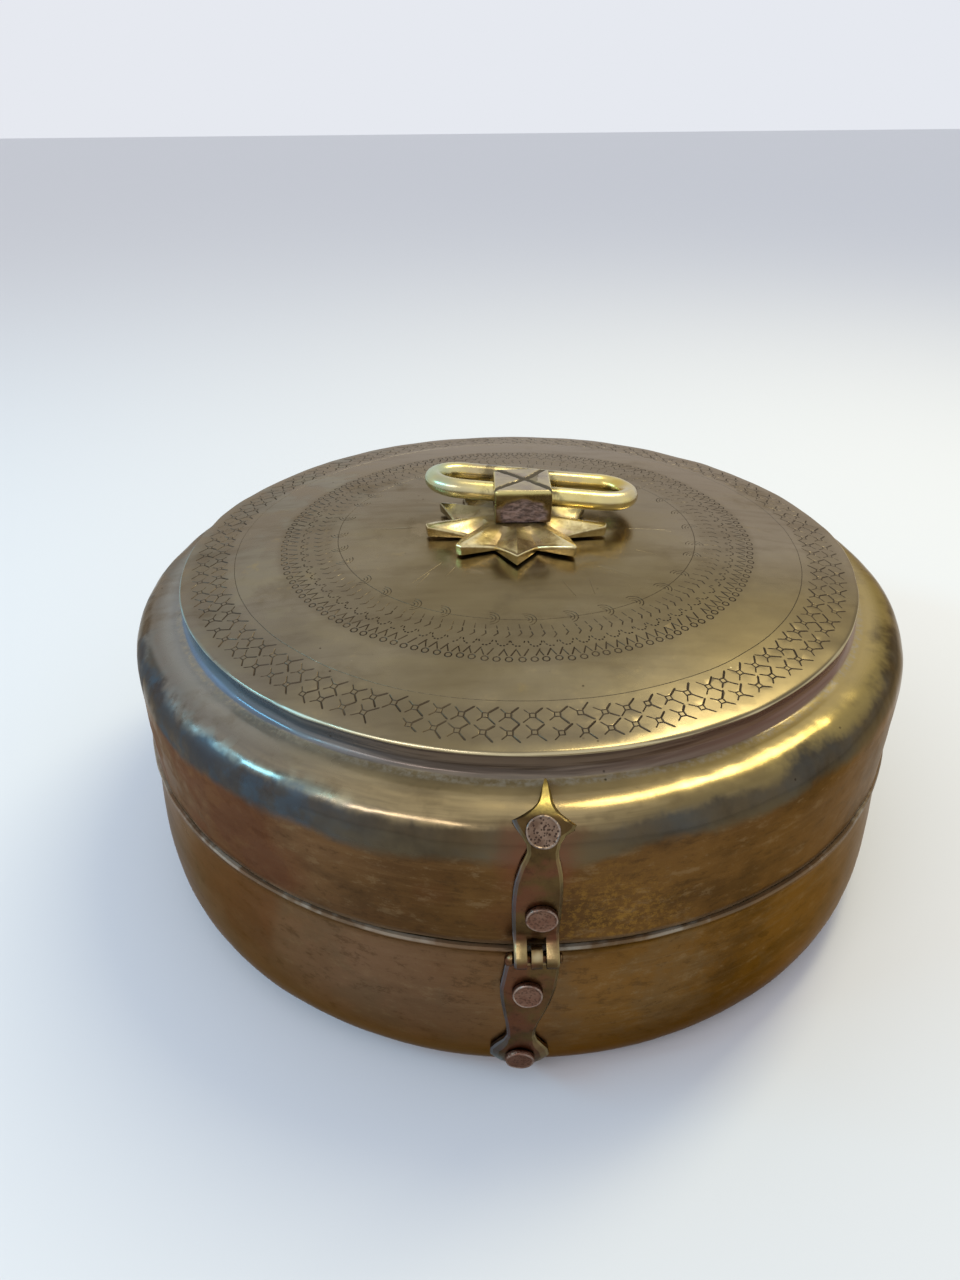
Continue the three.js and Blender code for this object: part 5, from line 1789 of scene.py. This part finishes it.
def combined(shape, other, operation):
    """Joins two closed shapes, or cuts one out of the other."""
    first, second = scratch_object(shape), scratch_object(other)
    modifier = first.modifiers.new("combine", "BOOLEAN")
    modifier.operation = operation
    modifier.object = second
    modifier.solver = "EXACT"
    mesh = first.evaluated_get(bpy.context.evaluated_depsgraph_get()).to_mesh()
    made = Shape()
    made.add(vertex.co / MM for vertex in mesh.vertices)
    for polygon in mesh.polygons:
        made.face(polygon.vertices)
    bpy.data.objects.remove(first)
    bpy.data.objects.remove(second)
    return made


def grid_box(half, spacing):
    """A box round the origin whose six sides are fine grids."""
    shape = Shape()
    for axis in range(3):
        u, v = (axis + 1) % 3, (axis + 2) % 3
        steps_u, steps_v = round(2 * half[u] / spacing), round(2 * half[v] / spacing)
        for sign in (-1, 1):
            rows = []
            for i in range(steps_u + 1):
                row = []
                for j in range(steps_v + 1):
                    point = Vector((0, 0, 0))
                    point[axis] = sign * half[axis]
                    point[u] = half[u] * (2 * i / steps_u - 1)
                    point[v] = half[v] * (2 * j / steps_v - 1)
                    row.append(point)
                rows.append(shape.add(row))
            shape.skin(rows, closed=False)
    return shape


# Grooves filed across the post's top and the dark patch between them, in shares of its half sizes
POST_GROOVE_SHARES = [
    ((-0.93, 0.95), (0.12, 0.02)), ((0.12, 0.02), (0.96, -0.86)), ((0.86, 0.97), (0.3, 0.25)),
    ((0.3, 0.25), (-0.02, -0.05)), ((-0.02, -0.05), (-0.95, -0.8)),
]
POST_PATCH_SHARES = ((0.62, 0.62), (0.5, -0.3), (0.05, -0.02))
GROOVE_WIDTH = 1.25
GROOVE_DEPTH = 0.95
HOLLOW_CENTRE = (-0.3, -3.0)
HOLLOW_HALF = (10.8, 6.6)
HOLLOW_DEPTH = 0.75


def on_post_top(share):
    return Vector((share[0] * POST_HALF.x, share[1] * POST_HALF.y))


def groove_share(point):
    """How near a point of the post's top is to a groove, from 0 to 1."""
    nearest = 1.0
    for first, last in POST_GROOVE_SHARES:
        start = on_post_top(first)
        run = on_post_top(last) - start
        share = min(1, max(0, (point.xy - start).dot(run) / run.length_squared))
        width = GROOVE_WIDTH + 0.3 * lumps((point.x, point.y, 0), 2, 51)
        nearest = min(nearest, (point.xy - start - run * share).length / width)
    return 1 - nearest


def patch_share(point):
    """The dark patch in the angle between the grooves."""
    corners = [on_post_top(share) for share in POST_PATCH_SHARES]
    inside = all((b - a).cross(point.xy - a) <= 0 for a, b in zip(corners, corners[1:] + corners[:1]))
    return 0.7 if inside else 0.0


def hollow_share(point):
    """How far inside the rough hollow in the post's front a point is, from 0 to 1."""
    across = (point.x - HOLLOW_CENTRE[0]) / HOLLOW_HALF[0]
    up = (point.z - HOLLOW_CENTRE[1]) / HOLLOW_HALF[1]
    return smooth_step(1.0, 0.6, hypot(across, up) + uneven(point, HOLLOW_EDGE_DENTS))


def worked_post(point):
    """Rounds the post's edges, dents its sides, and cuts its grooves and hollow."""
    inner = POST_HALF - Vector((POST_ROUNDING, POST_ROUNDING, POST_ROUNDING))
    core = Vector([min(inner[k], max(-inner[k], point[k])) for k in range(3)])
    way = (point - core).normalized()
    moved = core + way * POST_ROUNDING
    if point.z < -inner.z:
        moved.z = point.z
    moved -= way * (0.12 + uneven(point, POST_DENTS))
    if point.z > POST_HALF.z - 0.01:
        moved.z -= GROOVE_DEPTH * max(0, groove_share(point)) + 0.25 * patch_share(point)
    if point.y < -POST_HALF.y + 0.01:
        moved.y += hollow_share(point) * (HOLLOW_DEPTH + uneven(point, HOLLOW_DENTS))
    return moved


def handle_post():
    low, high = node_box("handle_post")
    base = high.z - 2 * POST_HALF.z
    centre = Vector((POST_SHIFT, 0, base + POST_HALF.z))
    block = grid_box(POST_HALF, POST_GRID).moved(worked_post).moved(lambda point: point + centre)
    hole = Shape()
    ends = [Vector((POST_SHIFT + x, CROSS_HOLE_BACK, base + CROSS_HOLE_RISE)) for x in (-14, 14)]
    hole.cap(tube(hole, ends, Vector((0, 0, 1)), lambda place: CROSS_HOLE_RADIUS, 40), *ends)
    peen_shares = [(0, 0), (0.6, 0.1), (0.9, 0.6), (1, 1.2), (0.97, STEM_PEEN_HEIGHT)]
    profile = [(STEM_PEEN_RADIUS * share, low.z + rise) for share, rise in peen_shares]
    profile += [(STEM_RADIUS, low.z + STEM_PEEN_HEIGHT), (STEM_RADIUS, base + 0.5), (0, base + 0.5)]
    stem = lathe_shape(profile, 36).moved(lambda point: point + Vector((POST_SHIFT, 0, 0)))
    shape = combined(combined(block, hole, "DIFFERENCE"), stem, "UNION")

    def grime(corners):
        middle = mean(corners) - centre
        if middle.z > POST_HALF.z - 1.7:
            return max(0, min(1, 8 * groove_share(middle)), patch_share(middle))
        if middle.y < -POST_HALF.y + 2.6:
            return min(1, 2 * hollow_share(Vector((middle.x, -POST_HALF.y, middle.z))))
        return 0.0

    shape.mark_faces(grime)
    make_piece(shape, "handle_post", "filed", "lid", "post_brass", 30, "grime")


def handle_washer():
    low, high = node_box("handle_washer")
    centre_x = (low.x + high.x) / 2
    radius = (high.x - low.x) / 2
    inner = STEM_RADIUS + 0.3
    shape = Shape()
    revolve(shape, [
        (inner, low.z + 0.2), (inner + 0.2, low.z), (radius - 0.5, low.z), (radius, low.z + 0.45),
        (radius - 0.1, high.z - 0.4), (radius - 0.5, high.z), (inner + 0.2, high.z), (inner, high.z - 0.2),
    ], 56, joined=True)

    def filed(point):
        scale = 0.99 + 0.01 * lumps(point, 6, 61)
        return Vector((centre_x + point.x * scale, point.y * scale, point.z))

    make_piece(shape.moved(filed), "handle_washer", "cut", "lid", "inner_brass")


def handle_ring():
    """A long link, hammered round, lying back through the post's cross hole."""
    bend = RING_PITCH / 2
    straight = RING_LENGTH - 2 * (bend + RING_BAR_RADIUS)
    path = []
    for side in (1, -1):
        for i in range(25):
            angle = -pi / 2 + pi * i / 24
            path.append(Vector((side * (straight / 2 + bend * cos(angle)), side * bend * sin(angle), 0)))
        path += [Vector((side * straight * (0.5 - i / 14), side * bend, 0)) for i in range(1, 14)]
    path = [point + Vector((RING_SLIDE, bend, 0)) for point in path]
    shape = Shape()
    tube(
        shape, path, Vector((0, 0, 1)),
        lambda place: RING_BAR_RADIUS * (1.02 + uneven(place, RING_DENTS)), 22, closed=True,
    )
    pivot = Vector(joints["ring_swing"]["pos_m"]) / MM
    shape.turned(placed_by_turns(pivot, (RING_YAW, "Z"), (RING_ROLL, "Y"), (RING_DROOP, "X")))
    make_piece(shape, "handle_ring", "forged", "ring", "ring_brass")


lid_shell()
body_shell()
body_collar()
hinge_lid_strap()
lid_rivets()
fitting_on_body("hinge", in_front, 1)
fitting_on_body("hasp", behind, 3)
hasp()
staple()
staple_rove()
rosette()
handle_post()
handle_washer()
handle_ring()


# Camera, floor and light

PHOTO_HEIGHT = 1280
FOCAL_PIXELS = 888
CAMERA_PLACE = Vector((-16.3, -321.0, 277.4))
CAMERA_YAW = radians(0.33)
CAMERA_PITCH = radians(32.2)
CAMERA_ROLL = radians(-0.56)
SENSOR = 36.0
FLOOR_REACH = 6.0
FLOOR_COLOUR = (214, 215, 218)
WORLD_COLOUR = (230, 233, 240)

# Lamps: where they start and end, in metres, their width, power and colour
STRIPS = {
    "left_window": ((-1.15, 0.1, 0.62), (-0.92, -0.5, 0.88), 0.13, 4.4, (0.24, 0.68, 1.0)),
    "front_window": ((-0.88, -0.62, 0.84), (-0.3, -0.9, 1.02), 0.08, 2.2, (0.9, 0.88, 1.0)),
    "right_window": ((0.18, 0.14, 1.22), (0.66, 0.52, 0.93), 0.2, 6.6, (1.0, 0.93, 0.6)),
}


def add_camera():
    data = bpy.data.cameras.new("camera")
    data.sensor_width = SENSOR
    data.lens = FOCAL_PIXELS / PHOTO_HEIGHT * SENSOR
    data.clip_start = 0.01
    camera = linked("camera", data)
    turns = ((-CAMERA_YAW, "Z"), (pi / 2 - CAMERA_PITCH, "X"), (CAMERA_ROLL, "Z"))
    camera.matrix_world = placed_by_turns(CAMERA_PLACE * MM, *turns)
    bpy.context.scene.camera = camera


def add_floor():
    mesh = bpy.data.meshes.new("floor")
    corners = [(x * FLOOR_REACH, y * FLOOR_REACH, 0) for x, y in ((-1, -1), (1, -1), (1, 1), (-1, 1))]
    mesh.from_pydata(corners, [], [(0, 1, 2, 3)])
    material = bpy.data.materials.new("floor")
    material.use_nodes = True
    shader = material.node_tree.nodes["Principled BSDF"]
    shader.inputs["Base Color"].default_value = (*srgb(FLOOR_COLOUR), 1)
    shader.inputs["Roughness"].default_value = 0.8
    mesh.materials.append(material)
    linked("floor", mesh)


def add_strip(name, start, end, width, energy, colour):
    """A long narrow lamp between two places, facing the box."""
    start, end = Vector(start), Vector(end)
    data = bpy.data.lights.new(name, "AREA")
    data.shape = "RECTANGLE"
    data.size, data.size_y = (end - start).length, width
    data.energy = energy
    data.color = colour
    place = (start + end) / 2
    back = (place - Vector((0, 0, 0.1))).normalized()
    up = back.cross((end - start).normalized()).normalized()
    linked(name, data).matrix_world = placed_by_axes(place, up.cross(back), up, back)


def add_world():
    world = bpy.data.worlds.new("world")
    bpy.context.scene.world = world
    world.use_nodes = True
    background = world.node_tree.nodes["Background"]
    background.inputs["Color"].default_value = (*srgb(WORLD_COLOUR), 1)


add_camera()
add_floor()
add_world()
for strip_name, strip in STRIPS.items():
    add_strip(strip_name, *strip)

bpy.context.scene.view_settings.view_transform = "Standard"
